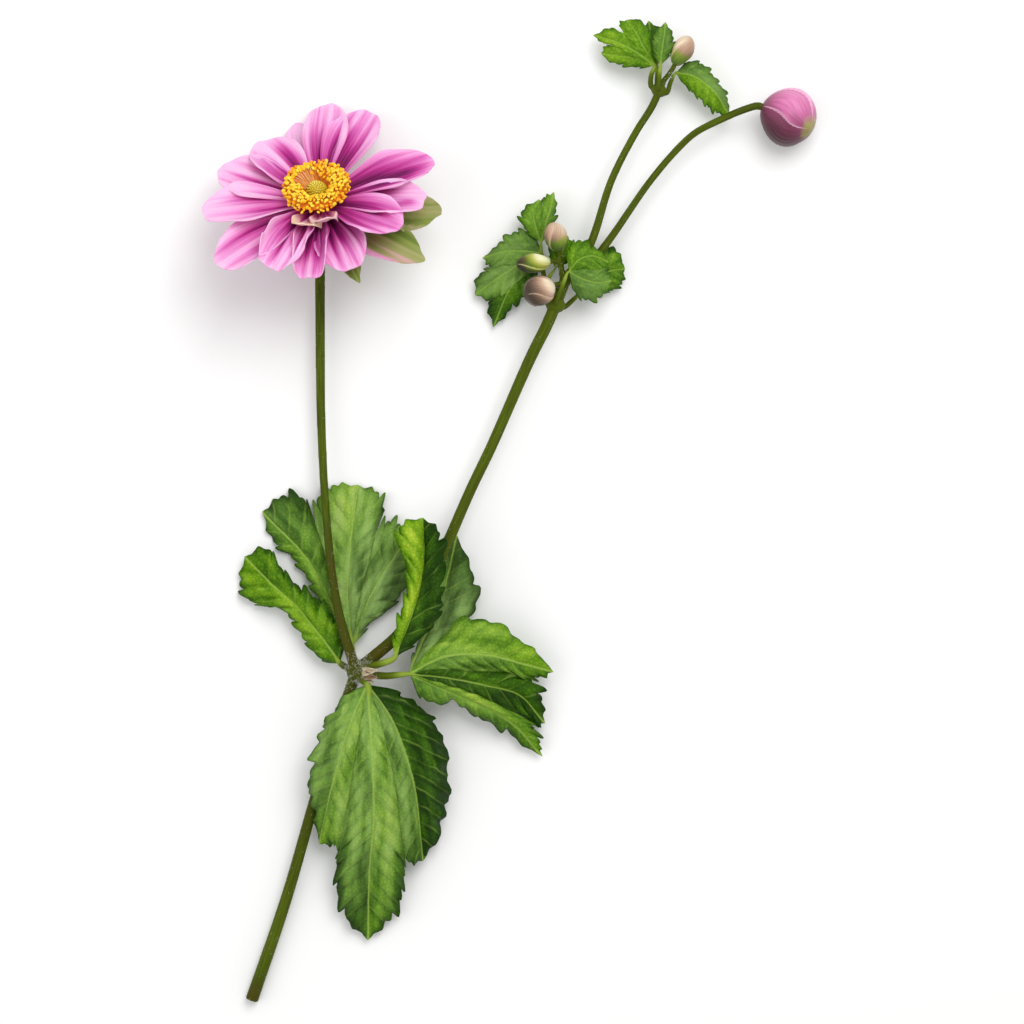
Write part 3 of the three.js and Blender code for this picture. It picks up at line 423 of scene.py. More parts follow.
def evenPoints(points, count, steps=24):
    # count + 1 evenly spaced points on a smooth curve through the given ones
    corners = [Vector(p) for p in points]
    corners = [corners[0] * 2 - corners[1], *corners, corners[-1] * 2 - corners[-2]]
    dense = []
    for p0, p1, p2, p3 in zip(corners, corners[1:], corners[2:], corners[3:]):
        d0, d1, d2 = (max((b - a).length, 1e-4) ** 0.5 for a, b in ((p0, p1), (p1, p2), (p2, p3)))
        leave = ((p1 - p0) / d0 - (p2 - p0) / (d0 + d1) + (p2 - p1) / d1) * d1
        arrive = ((p2 - p1) / d1 - (p3 - p1) / (d1 + d2) + (p3 - p2) / d2) * d1
        for i in range(steps):
            u = i / steps
            dense.append(p1 + leave * u + (3 * (p2 - p1) - 2 * leave - arrive) * u ** 2
                         + (2 * (p1 - p2) + leave + arrive) * u ** 3)
    dense.append(corners[-2])
    reach = [0.0]
    for a, b in zip(dense, dense[1:]):
        reach.append(reach[-1] + (b - a).length)
    even, k = [], 0
    for i in range(count + 1):
        goal = reach[-1] * i / count
        while k < len(reach) - 2 and reach[k + 1] < goal:
            k += 1
        share = (goal - reach[k]) / max(reach[k + 1] - reach[k], 1e-9)
        even.append(dense[k].lerp(dense[k + 1], min(max(share, 0.0), 1.0)))
    return even


def tube(points, radii, name, sides=12, step=1.6):
    # a round stalk along a smooth curve, closed at both ends; its radius is read along it
    centres = evenPoints(points, max(3, round(lengthOf(points) / step)))
    curve = bpy.data.curves.new(name, "CURVE")
    curve.dimensions = "3D"
    curve.bevel_depth = mm
    curve.bevel_resolution = max(1, sides // 4 - 1)
    curve.use_fill_caps = True
    line = curve.splines.new("POLY")
    line.points.add(len(centres) - 1)
    for i, (point, centre) in enumerate(zip(line.points, centres)):
        point.co = (*(centre * mm), 1.0)
        point.radius = listed(radii, i / (len(centres) - 1))
    piece = bpy.data.objects.new(name, curve)
    bpy.context.collection.objects.link(piece)
    selectOnly(piece)
    bpy.ops.object.convert(target="MESH")
    return bpy.context.object


def copyOf(piece, place, turn, size):
    made = bpy.data.objects.new(piece.name + "Copy", piece.data.copy())
    bpy.context.collection.objects.link(made)
    made.matrix_world = Matrix.LocRotScale(place, turn, Vector(size))
    return made


def hairs(piece, count, length, seed, thick, around=(0, 0, 0), reach=math.inf):
    # fine hairs: one three-sided spike modelled once, copied on to random faces within reach of a point,
    # standing out from each face with a random lean
    draw = random.Random(seed)
    bpy.ops.mesh.primitive_cone_add(vertices=3, radius1=thick * mm, radius2=0, depth=length * mm,
                                    location=(0, 0, length * mm * 0.42))
    spike = bpy.context.object
    bpy.ops.object.transform_apply(location=True, rotation=True, scale=True)
    faces = [face for face in piece.data.polygons
             if face.center.z > 1.2 * mm and (face.center / mm - Vector(around)).length < reach]
    grown = [spike]
    for _ in range(count):
        face = draw.choice(faces)
        lean = Vector([draw.uniform(-0.7, 0.7) for _ in range(3)])
        turn = Vector((0, 0, 1)).rotation_difference((face.normal + lean).normalized())
        grown.append(copyOf(spike, face.center, turn, (1, 1, draw.uniform(0.6, 1.2))))
    spike.matrix_world = grown[-1].matrix_world
    coat = joined(grown, "coat")
    painted(coat, tone=0.3)
    coat.data.materials.append(hairWhite)
    return coat


# Leaves and bracts

leafNode = [-46.5, -47.6, 10]
# A blade's size is set by its ribs and edges. rows: teeth along a lobe; tooth: how far they stand out;
# pillow: the lobe's crown; relief: the tissue between the veins; wave: the ruffle of its edge;
# point: how far the tip is drawn out. Tones pick the green; a lobe or half toned darker or lighter than the
# rest is partly painted shade and light. The grey bloom on it is laid together with a painted pale sheen.
leafDefaults = dict(
    rows=10, furrowRows=5, tooth=2.52, pillow=0.8, stalkRadii=[1.2, 1.1, 0.85, 0.14], fine=7, columns=20,
    relief=0.75, wave=0.7, point=2.4, sideTone=(0.08, -0.1), tipTone=-0.06, dustFade=0.8, thickness=0.42,
    veins=leafVeins, seed=3, tone=0.0, dust=0.1, source=leafNode, rootTone=0.0)
bractDefaults = dict(
    rows=8, furrowRows=4, tooth=2.1, rootTone=0.26, pillow=0.5, stalkRadii=[0.85, 0.75, 0.6, 0.12], fine=8,
    columns=12, relief=0.45, wave=0.3, point=1.6, sideTone=(0.03, -0.04), tipTone=-0.04, dustFade=0.3,
    thickness=0.36, veins=bractVeins, seed=5, tone=0.0, dust=0.1)
upperDefaults = dict(bractDefaults, rows=6, furrowRows=3, tooth=1.575)


def toothShape(fromTip):
    # how far a tooth stands out: a large one every two rows, a small one between, steep towards the tip
    large, small = (smooth(0.45, 1.0, q) if q < 1 else (2 - q) ** 0.75 for q in (fromTip % 2, (fromTip + 1) % 2))
    return max(large, 0.6 * small - 0.05) * smooth(0.3, 2.4, fromTip)


def halfLobe(leaf, k, side, name):
    # one half of a lobe as a grid, from its rib to its toothed edge; below the sinus the edge is
    # the furrow that it shares with the next lobe
    lobe, right = leaf["lobes"][k], side == "right"
    # a side's own look can set its tone and grey bloom; where it tones a half darker or lighter than the rest, that
    # is painted shade and light on the half
    look = {**leaf, **lobe, **lobe.get(side + "Look", {})}
    fine, veins = leaf["fine"], leaf["veins"]
    rows = look["rows"] * fine
    rib = evenPoints([leaf["base"], *lobe["rib"]], rows)
    furrow = [None, *leaf.get("furrows", []), None][k + right]
    shared = evenPoints([leaf["base"], *furrow], leaf["furrowRows"] * fine) if furrow else [Vector(leaf["base"])]
    start = furrow[-1] if furrow else leaf["base"]
    outer = shared + evenPoints([start, *lobe[side], lobe["rib"][-1]], rows - len(shared) + 1)[1:]
    length = lengthOf(rib)
    draw = random.Random(leaf["seed"] + len(name) + (not right) * 17 + round(length * 7))
    turns = [draw.uniform(0, 6.28) for _ in range(3)]
    evenTone = look["tone"] + leaf["sideTone"][right]
    offset = veins["spacing"] / 2 if right else 0

    def place(spot):
        t, s = spot.x + 0.5, spot.y + 0.5
        i = round(s * rows)
        across = outer[i] - rib[i]
        forward = (rib[min(i + 1, rows)] - rib[max(i - 1, 0)]).normalized()
        up = across.cross(forward).normalized() * (1 if right else -1)
        width = across.length
        point = rib[i] + across * t
        free = smooth(0, fine * 0.8, i - len(shared) + 1)
        fromTip = (rows - i) / fine
        if width > 1e-6:
            tooth = (toothShape(fromTip) + 0.2 * toothShape(2 * fromTip + 0.5)) * free * leaf["tooth"]
            point += (across.normalized() + forward) * (tooth * t ** 3)
        point += forward * (leaf["point"] * max(0.0, 1 - fromTip / 2.2) ** 1.4)
        # distance from the rib square to it, and place along it
        ahead = across.dot(forward)
        along, out = s * length + ahead * t, (across - forward * ahead).length * t
        phase = (along + offset - out * veins["slant"]) / veins["spacing"]
        near = abs(phase - round(phase)) * veins["spacing"]
        cushion = (1 - bell(near, 0, 1.1)) * (1 - bell(out, 0, 1.1)) * (1 - t ** 6) * smooth(0, 4, width)
        swell = leaf["pillow"] * math.sin(math.pi * t) * math.sin(math.pi * s)
        ruffle = math.sin(along * 0.9 + turns[0]) + 0.6 * math.sin(along * 1.7 + turns[1])
        ruffle = leaf["wave"] * t ** 3 * free * ruffle * smooth(0, 4, width)
        point += up * (swell + leaf["relief"] * cushion + ruffle)
        point.z = max(point.z, 0.3)
        margin = t * (1 - 0.4 * (1 - free)) if furrow else t
        return point, dict(
            # puffed: painted light on the cushions between the veins, painted shade in the creases along them
            blade=(out, along + offset), margin=margin, puffed=cushion - 0.5,
            fold=t ** 12 * (1 - free) * (1 - i / len(shared) * 0.5) if furrow else 0.0,
            tone=evenTone + look["tipTone"] * smooth(0.45, 0.85, s),
            # grey bloom together with a painted pale sheen, less towards the tip and at the margin
            dust=look["dust"] * (1 - leaf["dustFade"] * smooth(0.5, 0.95, s)) * (1 - 0.85 * margin ** 5))

    return shapedGrid(leaf["columns"], rows, name, place)


def leafPiece(settings, defaults, name):
    # the lobes side by side in one sheet, given its thickness, with the stalk that carries it
    leaf = {**defaults, **settings}
    lobes = leaf["lobes"]
    base, root, source = (Vector(point) for point in (leaf["base"], leaf["stalk"][0], leaf["source"]))
    blade = joined([halfLobe(leaf, k, side, f"{name}Half{k}{side}")
                    for k in range(len(lobes)) for side in ("left", "right")], name)
    cleaned(blade, towards=Vector((0, 0, 1)))
    for _ in range(2):
        blade.data.materials.append(leafTop)
    applied(blade, "SOLIDIFY", thickness=leaf["thickness"] * mm, offset=0, material_offset=1, material_offset_rim=1)
    sunk = base.lerp(Vector(lobes[len(lobes) // 2]["rib"][0]), 0.5)
    path = [source.lerp(root, 0.15), *leaf["stalk"], leaf["base"], sunk]
    carrier = tube(path, leaf["stalkRadii"], name + "Stalk", 12, 0.8)
    run = (base - root).length
    # pale where it runs into the rib, green along its length, the stem's own tone where it leaves the node
    tones = []
    for vertex in carrier.data.vertices:
        point = vertex.co / mm
        pale = 0.3 + 0.46 * smooth(max(run - 6, 0) - 1, run, (point - root).length)
        tones.append(lerp(leaf["rootTone"], pale, smooth(3.5, 7.5, (point - source).length)))
    painted(carrier, tone=tones, stalk=1.0)
    piece = joined([blade, carrier], name)
    smoothShaded(piece, 50)
    return piece


def stalksGreen(piece):
    # the stalk and sleeve faces take the third finish, that of the stem
    marks = piece.data.attributes["stalk"].data
    for face in piece.data.polygons:
        if marks[face.vertices[0]].value > 0.5:
            face.material_index = 2


# The leaves at the node. A lobe's right side is the one on the right when its tip points away, and a
# furrow runs between each two lobes.
frontLeaf = dict(
    stalk=[[-45.4, -49.5, 13]], base=[-43, -51.4, 13.4], tone=0.2, dust=0.75, furrowRows=6,
    furrows=[[[-38.2, -65, 20], [-34.5, -83, 16.5], [-32.8, -98, 11.5]],
        [[-45, -65, 20], [-48, -83, 17], [-50.3, -95, 12]]],
    lobes=[
        dict(
            rib=[[-35.5, -62, 18], [-29.5, -80, 14.5], [-27, -102.3, 6]],
            left=[[-36.4, -53.2, 13], [-30.6, -56.4, 12], [-24.6, -62.2, 9.5], [-21, -73, 7.5], [-21.2, -87, 6],
                [-24, -98, 5.5]],
            # this half turns down under the leaf and is toned darker as painted shade
            leftLook=dict(tone=-0.3, dust=0.04), right=[[-30.5, -102, 8.5]]),
        dict(
            rows=14, tone=0.24, tipTone=-0.26,
            rib=[[-42, -62, 21], [-41.2, -75, 21.5], [-41, -90, 17.5], [-42.6, -108, 9.5], [-43.2, -126.3, 3]],
            left=[[-33, -106, 8.5], [-34.6, -115, 6], [-38.8, -121.4, 4]],
            right=[[-51.4, -104, 9.5], [-50.9, -112.5, 7], [-47.6, -121, 4.6]]),
        dict(
            rib=[[-47.5, -62, 18.5], [-53, -80, 15.5], [-57.1, -97.4, 7]], left=[[-53.5, -97.2, 9.5]],
            right=[[-48, -54, 12.5], [-55, -64, 12.8], [-58.4, -76, 12], [-58, -88, 9.5]]),
    ])
rightLeaf = dict(
    stalk=[[-43.2, -48.3, 10.8], [-38, -48.8, 12.2]], base=[-30.5, -48.2, 13.2], tone=0.24, dust=0.35, furrowRows=4,
    furrows=[[[-25, -41.5, 12.4], [-19.8, -36.4, 9.6]], [[-22, -46.6, 14.2], [-12, -47.4, 12.4], [-2.6, -47.6, 9]],
        [[-20.5, -50.8, 12.8], [-9, -54.8, 10], [1, -60, 7]]],
    lobes=[
        dict(
            tone=0.0, dust=1.0, rib=[[-25.6, -37, 9], [-20, -22, 5.4], [-17, -9.3, 4]],
            left=[[-27.4, -40, 9.5], [-23.4, -29, 6.6], [-21.2, -16, 4.6]],
            right=[[-13.2, -31, 6.6], [-12.6, -24, 5.6], [-14.6, -15.6, 4.6]]),
        dict(
            tone=0.22, rib=[[-20, -43, 15], [-8, -42.4, 13.6], [3, -45.2, 10], [10.2, -47.2, 7]],
            left=[[-15.4, -33, 12], [-6, -34.4, 11.6], [1, -39, 9.6], [7.4, -43.8, 8]], right=[[4, -48.6, 8]]),
        dict(
            tone=-0.1, dust=0.05, rib=[[-21, -49, 13.4], [-9, -51.4, 11], [2, -54.6, 7.6], [8.4, -61.6, 4.6]],
            left=[[3, -50.4, 7.6], [6.6, -55, 6]], right=[[5, -61.8, 5.4]]),
        dict(
            rib=[[-21, -52.6, 12], [-9, -57.6, 9], [1, -64, 6], [7.6, -71.6, 2.8]], left=[[5, -65, 5]],
            right=[[-26, -54.6, 11.6], [-18, -55.4, 9.6], [-9, -60.4, 7.4], [-1, -64.4, 5.4], [4, -69, 3.8]]),
    ])
uprightLeaf = dict(
    stalk=[[-43.4, -46.3, 12.6], [-39.5, -45.2, 14]], base=[-35, -43.4, 14.6], rows=14,
    lobes=[
        dict(
            rib=[[-30.5, -33, 14.8], [-27, -22, 14], [-26, -12, 13], [-26.4, -4, 11.4]],
            left=[[-34, -37, 15], [-31, -27, 14], [-30.6, -18, 14], [-33, -9.6, 13.6], [-30.6, -5, 12.6]],
            # its left half is toned lighter as painted light and its right half darker as painted shade
            leftLook=dict(tone=0.32, dust=0.0),
            right=[[-28.6, -38, 16.4], [-23.6, -32, 18], [-22.2, -23, 18], [-21.4, -14, 17], [-23, -7, 14.6]],
            rightLook=dict(tone=-0.1, dust=0.05)),
    ])
leftLeaf = dict(
    stalk=[[-49, -46.7, 8.3]], base=[-51.4, -45.2, 7.4], tone=0.25, tipTone=-0.08, dust=0.06, rows=14,
    lobes=[
        dict(
            rib=[[-55.4, -39.5, 6.6], [-60, -33.6, 6.6], [-64.6, -27.8, 6.6], [-71, -22.4, 5.6], [-78.6, -15, 3]],
            left=[[-54, -45, 6], [-58.6, -40.6, 5.4], [-63, -33.6, 5.6], [-67, -29.4, 5.6], [-74.6, -27.6, 4],
                [-79.4, -23, 2.6]],
            right=[[-51, -40.6, 6.4], [-53.6, -33.6, 6.4], [-58, -28.6, 6.8], [-63, -25, 6.8], [-68, -20, 5.6],
                [-73.4, -13, 4]]),
    ])
rearLeaf = dict(
    stalk=[[-47.1, -46.3, 6.9], [-47.5, -43.6, 5.2]], base=[-48, -40.4, 4.6], tone=0.1, tipTone=0.27, dust=1.0,
    dustFade=0.1, furrowRows=6, rows=12,
    furrows=[[[-51.5, -27, 4.6], [-55.6, -14, 3.8], [-59, -4, 2.6]],
        [[-45.6, -26, 4.6], [-42.6, -14, 4], [-41, -6.5, 3]]],
    lobes=[
        dict(
            tone=0.1, tipTone=-0.04, dust=0.3, rib=[[-54.2, -27, 4.2], [-61.5, -14, 3.2], [-73.4, -1.6, 1.6]],
            left=[[-52.6, -33.3, 4.4], [-57.4, -24, 3.6], [-63, -15, 2.6], [-70, -8.4, 1.6]],
            right=[[-62, 1.6, 2.2], [-68, 2.4, 1.8]]),
        dict(
            rib=[[-49.2, -25, 4.8], [-48.4, -10, 3.6], [-46.6, 5.8, 1.4]],
            left=[[-57.6, 1.4, 2.2], [-53, 5.4, 1.6]], right=[[-39.8, -1, 2.4], [-41.6, 3.6, 1.8]]),
        dict(
            tone=0.02, tipTone=0.06, rib=[[-44.6, -30, 4.4], [-39, -19, 4], [-31.6, -8, 2.4]],
            left=[[-36.8, -5.6, 2.6]],
            right=[[-45, -35, 4.2], [-38, -29, 3.4], [-33.8, -22.4, 3], [-29.8, -16, 2.4]]),
    ])
leaves = dict(
    front_leaf=frontLeaf, right_leaf=rightLeaf, upright_leaf=uprightLeaf, left_leaf=leftLeaf, rear_leaf=rearLeaf)
for node, settings in leaves.items():
    blade = leafPiece(settings, leafDefaults, node + "_blade")
    finished(blade, node, "leaf", leafTop, leafUnder, stemSkin)
    stalksGreen(blade)
print("leaves done")

# The bracts round each bud whorl grow from a sheath that clasps the stalk with a small gap.
lowerSheath = dict(middle=[12.9, 62.1, 9.35], towards=[15.2, 67.6, 9.4], inner=2.35, outer=3.1, height=3.4)
upperSheath = dict(middle=[43.9, 125.9, 9.55], towards=[44.9, 128.3, 9.6], inner=1.65, outer=2.4, height=2.6)
lowerBracts = [
    dict(
        stalk=[[10.5, 63.3, 7.4], [9.4, 70.5, 6.2]], base=[8.8, 77.6, 6.8], tone=0.12, dust=0.9,
        furrows=[[[4.6, 71.4, 6], [0.6, 66, 4.6]], [[3.4, 73.4, 6.2], [-2.6, 73.9, 5]]],
        lobes=[
            dict(
                tone=-0.06, dust=0.1, rib=[[4, 74, 6.2], [-1.6, 65, 4.8], [-5.1, 56.8, 2.4]],
                left=[[7, 71.4, 5.6], [4, 67, 5], [0.2, 64, 4.2], [-3, 59.4, 3]], right=[[-5.4, 63.6, 3.6]]),
            dict(
                rib=[[3, 74.4, 7], [-3.6, 70.6, 5.6], [-10, 66, 3.2]], left=[[-6, 65.2, 3.8]],
                right=[[-8.8, 70.4, 4.2]]),
            dict(
                rib=[[3.6, 78, 7], [-2, 78, 5.6], [-7.4, 76.6, 3.6]], left=[[-4.8, 74.8, 4.4]],
                right=[[7.8, 80.4, 6.6], [3.2, 83, 6], [-1.6, 80.6, 5], [-5, 78.2, 4.2]]),
        ]),
    dict(
        stalk=[[9.6, 70.5, 6.2], [8.8, 77, 6.8]], base=[8.7, 80.6, 7.6], tone=0.24, dust=0.4, rows=6, furrowRows=3,
        furrows=[[[9, 86, 8.6], [9, 90.6, 7.8]]],
        lobes=[
            dict(
                rib=[[7.4, 84.4, 8.4], [6.6, 88.6, 8], [7.6, 92, 7]],
                left=[[6.4, 82.6, 7.6], [4, 86.6, 7.4], [4.6, 89.8, 7]], right=[]),
            dict(
                rib=[[10, 86, 8.8], [11.2, 90, 8.4], [12.2, 94.2, 7]], left=[[10.2, 92.4, 7.4]],
                right=[[10.6, 84, 8.4], [11.6, 88, 8], [12.2, 91, 7.6]]),
        ]),
    dict(
        stalk=[[13, 62.3, 12.6], [15.4, 68.4, 13.9]], base=[17, 71.6, 14], tone=0.28, dust=0.2,
        furrows=[[[20.6, 72.2, 14.2], [24.6, 72, 13]]],
        lobes=[
            dict(
                rib=[[20, 75, 14.4], [24, 76.2, 13.2], [27.4, 75, 11.6]],
                left=[[16.6, 75.4, 14], [18.6, 79, 13.4], [23, 78.4, 12.6], [26, 76.8, 12]],
                right=[[26.6, 73, 12]]),
            dict(
                tone=0.2, dust=0.9, rib=[[20.4, 69.6, 14], [24.6, 68.4, 12.8], [28.2, 68.8, 11]],
                left=[[27.2, 70.6, 11.8]],
                right=[[18, 67.4, 13.2], [20.8, 64.8, 12.4], [24.8, 65, 11.6], [27.4, 66.8, 11]]),
        ]),
    dict(
        stalk=[[15.2, 61.1, 7.2], [18.6, 63.8, 6]], base=[21.2, 66.4, 5.6], tone=0.1, dust=0.2,
        lobes=[
            dict(
                rib=[[25, 69.6, 5.6], [28.8, 72, 5], [32.4, 72.8, 3.6]],
                left=[[21.6, 70.6, 5.6], [24, 75.6, 5.2], [28.6, 78.2, 4.6], [31.4, 75.6, 4]],
                right=[[24.6, 66.2, 5], [28.8, 67, 4.2], [31.6, 69.8, 3.6]]),
        ]),
    dict(
        stalk=[[10, 63.3, 8.4], [10.8, 69.4, 7.4]], base=[13, 73, 8], tone=0.34,
        lobes=[
            dict(
                rib=[[14.2, 76, 8.6], [15.4, 78.4, 8.8], [16.2, 81, 8.6]], left=[[12, 75.6, 8.2], [13, 79, 8.4]],
                right=[[15.2, 74.4, 8], [17, 78, 8.2]]),
        ]),
]
upperBracts = [
    dict(
        stalk=[[41.6, 126.9, 9.3], [41.6, 130.6, 9.6]], base=[42.6, 133.2, 9.8], tone=0.31,
        furrows=[[[36.6, 135.9, 9.8], [30.9, 139.2, 8.6]], [[37, 138.5, 10.2], [33.4, 142.8, 9]]],
        lobes=[
            dict(
                rib=[[37.4, 135.4, 9.6], [32, 136.3, 8.4], [28.2, 137, 7]],
                left=[[38.4, 133.4, 9], [33.4, 134.5, 8], [29.6, 135.5, 7]], right=[[29.2, 138.5, 7.6]]),
            dict(
                rib=[[36.6, 137.4, 10.6], [31, 140.4, 9.2], [25.7, 142.2, 7]], left=[[28, 140.5, 7.8]],
                right=[[29.6, 143.4, 8]]),
            dict(
                rib=[[38.8, 139.4, 10.2], [37, 143, 9.4], [35.2, 145.8, 8.2]], left=[[33.4, 145, 8.4]],
                right=[[42, 138, 9.8], [40.4, 143, 8.8], [37.4, 146, 8]]),
        ]),
    dict(
        stalk=[[43.4, 126.1, 7.1], [43.4, 130.6, 7]], base=[43.4, 133.6, 7.2], tone=0.05,
        lobes=[
            dict(
                rib=[[42.8, 138, 7], [41.8, 142, 6.4], [41.2, 145.6, 5.4]], left=[[40.8, 137.4, 6.8], [39, 142, 6]],
                right=[[45.2, 137.6, 6.8], [44.6, 142.4, 6]]),
        ]),
    dict(
        stalk=[[43.6, 126, 12], [43.9, 130, 12.6]], base=[44.2, 133, 12.6], tone=0.22, dust=0.6,
        lobes=[
            dict(
                rib=[[44.6, 137, 13], [45.2, 141, 12.6], [45.6, 144.4, 11.8]],
                left=[[42.6, 137, 12.4], [43, 141.6, 12]], right=[[46.4, 136.4, 12.6], [47, 141, 12.2]]),
        ]),
    dict(
        stalk=[[46.1, 125, 9], [47.4, 128.4, 8.4]], base=[49, 131.2, 8.6], tone=0.28, rows=12,
        lobes=[
            dict(
                rib=[[54, 130.2, 9.4], [60.2, 125.8, 8.2], [64.6, 119.4, 5.6]],
                left=[[51.6, 133.6, 8.8], [55.8, 133.4, 8.8], [59.6, 129.6, 7.6], [62.8, 125.6, 6.6]],
                leftLook=dict(tone=0.1, dust=1.0),
                right=[[51.4, 128.4, 8.2], [55.4, 125.4, 7.8], [59.6, 122, 6.8]]),
        ]),
]


def whorlPiece(sheath, bracts, defaults, name):
    # a ring of bracts that grow from a sleeve round the stalk
    middle = Vector(sheath["middle"])
    axis = (Vector(sheath["towards"]) - middle).normalized()
    reach, inner, outer = sheath["height"] / 2, sheath["inner"], sheath["outer"]
    centres = [middle + axis * far for far in (-(reach + 0.6), -reach * 0.5, reach * 0.5, reach + 0.3)]
    sleeve = tube(centres, [inner * 0.7, outer * 0.9, outer, outer * 0.96, inner * 0.8], name + "Sleeve", 20, 0.4)
    painted(sleeve, tone=0.3, stalk=1.0)
    pieces = [leafPiece({**bract, "seed": 5 + k, "source": middle}, defaults, f"{name}Bract{k}")
              for k, bract in enumerate(bracts)]
    whole = joined([*pieces, sleeve], name)
    smoothShaded(whole, 50)
    return whole


whorls = dict(
    lower_bracts=(lowerSheath, lowerBracts, bractDefaults), upper_bracts=(upperSheath, upperBracts, upperDefaults))
for node, parts in whorls.items():
    whorl = whorlPiece(*parts, node + "_whorl")
    finished(whorl, node, "bract", bractTop, bractUnder, stemSkin)
    stalksGreen(whorl)
print("bracts done")

# The open flower

flowerCentre = Vector((-57.4, 93.8, 23.4))
facing = Vector((-0.09, 0.637, 0.766)).normalized()
acrossRight = Vector((0.99, 0.139, 0)).normalized()
acrossTop = facing.cross(acrossRight)
petalRootRadius = 2.5
hubRadius, hubTop, hubBottom = 4.6, -1.8, -4.4
calyxRadius, calyxBottom = 3.4, -6.6


def outward(azimuth):
    turn = math.radians(azimuth)
    return acrossRight * math.cos(turn) + acrossTop * math.sin(turn)


def inFlower(azimuth, radius, height):
    return flowerCentre + outward(azimuth) * radius + facing * height


petalDefaults = dict(
    notch=0.008, curl=(0, 0), teeth=0.0, tipLength=0.32, folds=2.0, foldDepth=0.75, frill=0.4, tone=0.0,
    thickness=0.3, rows=48, columns=36, shades=[], shadeDepth=1.6, cream=0.0)
petalOutline = [0.2, 0.36, 0.58, 0.8, 0.96, 1.02, 1.01, 0.97]
# shades: deeper or paler bands along a petal, partly its own colour and partly painted shade, as at the feet
# of the petals under the petaloids; as (place across, half width, start, end, change of tone)
pinkPetals = [
    dict(azimuth=97, length=34, width=11, rootSlope=4, tipSlope=0, cup=1.5, height=-3.9, tone=-0.34, folds=1.5),
    dict(
        azimuth=80, length=37.5, width=14, rootSlope=12, tipSlope=0, cup=2.5, height=-3.1, tone=0.12, folds=2.5,
        curl=(0.8, 0), shades=[(0.35, 0.16, 0, 0.8, 0.36), (-0.1, 0.14, 0, 0.5, 0.36)]),
    dict(
        azimuth=126, length=28.5, width=16, rootSlope=16, tipSlope=6, cup=2.5, height=-3, tone=-0.04, curl=(1.2, 0),
        shades=[(0.5, 0.3, 0, 0.9, 0.4), (-0.15, 0.12, 0.1, 0.9, 0.24), (0.1, 0.1, 0.2, 0.95, -0.3)]),
    dict(
        azimuth=153, length=32.5, width=16.5, rootSlope=10, tipSlope=8, cup=2.5, height=-3.6, tone=-0.22,
        shades=[(0.0, 0.14, 0, 0.9, 0.42), (0.5, 0.2, 0, 0.5, 0.2)]),
    dict(
        azimuth=183, length=35, width=16, rootSlope=11, tipSlope=3, cup=2.5, height=-3, tone=-0.2,
        shades=[(0.35, 0.14, 0, 0.85, 0.42), (-0.3, 0.1, 0, 0.6, 0.3)]),
    dict(
        azimuth=214, length=38, width=17, rootSlope=4, tipSlope=0, cup=2, height=-3.9, tone=0.02, curl=(0.6, 0),
        shades=[(0.5, 0.3, 0.2, 1, 0.3), (-0.4, 0.2, 0.3, 1, 0.24)]),
    dict(
        azimuth=239, length=31.5, width=16, rootSlope=14, tipSlope=-8, cup=2.5, height=-3, tone=0.06, folds=3.5,
        foldDepth=1.3, frill=1.4, curl=(1.2, 2.2), notch=0.03,
        shades=[(0.2, 0.7, 0, 0.4, 0.4), (-0.5, 0.12, 0, 0.75, 0.5), (0.1, 0.14, 0, 0.9, 0.5),
            (-0.2, 0.12, 0.4, 1, -0.4), (0.5, 0.16, 0.3, 1, 0.3)]),
    dict(
        azimuth=260, length=31.5, width=14, rootSlope=4, tipSlope=-2, cup=2.5, height=-3.6, tone=0.3, folds=2.5,
        foldDepth=1.2, frill=1.2, curl=(2.4, 2.4), shades=[(0.1, 0.3, 0, 0.75, 0.5)]),
    dict(
        azimuth=285, length=29, width=15, rootSlope=0, tipSlope=-4, cup=2, height=-4, tone=0.24, folds=3.5,
        shades=[(0.0, 0.6, 0, 0.6, 0.3)]),
    dict(
        azimuth=319, length=31.5, width=15, rootSlope=16, tipSlope=4, cup=2.5, height=-3.1, tone=0.46,
        shades=[(0.3, 0.16, 0, 0.9, 0.3), (-0.35, 0.14, 0, 0.9, 0.24)]),
    dict(
        azimuth=341, length=34.5, width=14, rootSlope=12, tipSlope=8, cup=2.5, height=-3.7, tone=0.34, notch=0.03,
        shades=[(0.2, 0.14, 0, 0.7, 0.3), (0.0, 1.2, 0.72, 1.2, -0.32), (0.05, 0.22, 0.78, 0.94, 0.95)]),
    dict(
        azimuth=5, length=36.5, width=15, rootSlope=15, tipSlope=8, cup=3, height=-3.1, tone=0.42,
        shades=[(0.2, 0.34, 0.4, 0.92, 0.75), (-0.3, 0.14, 0, 0.6, 0.2), (0.6, 0.2, 0.05, 0.4, 0.4)]),
    dict(
        azimuth=59, length=36, width=16, rootSlope=14, tipSlope=2, cup=3, height=-3.5, tone=0.32,
        shades=[(-0.25, 0.22, 0, 0.8, 0.5), (0.15, 0.1, 0, 0.6, 0.4), (0.7, 0.25, 0, 0.9, -0.2)]),
    dict(
        azimuth=250, length=21, width=9, rootSlope=0, tipSlope=60, cup=2, height=-3.2, tone=0.2, folds=1.5,
        frill=0.1, foldDepth=0.3, tipLength=0.5, cream=0.85),
    dict(
        azimuth=276, length=20, width=8, rootSlope=0, tipSlope=66, cup=2, height=-3.2, tone=-0.1, folds=1.5,
        frill=0.1, foldDepth=0.3, tipLength=0.5, cream=0.5),
]
greenPetals = [
    dict(
        azimuth=349, length=36.5, width=15, rootSlope=-8, tipSlope=2, cup=1.5, height=-5.7, frill=1.1, teeth=0.9,
        tone=0.0),
    dict(
        azimuth=319, length=35.5, width=15, rootSlope=-8, tipSlope=-2, cup=1.5, height=-5.7, notch=-0.08, tone=0.06,
        shades=[(1.0, 0.75, 0.2, 1.1, -0.85), (-0.8, 0.5, 0.3, 1.1, 0.2)]),
    dict(azimuth=288, length=27, width=8, rootSlope=-16, tipSlope=-8, cup=1, height=-5.7, notch=-0.1, tone=0.45),
]


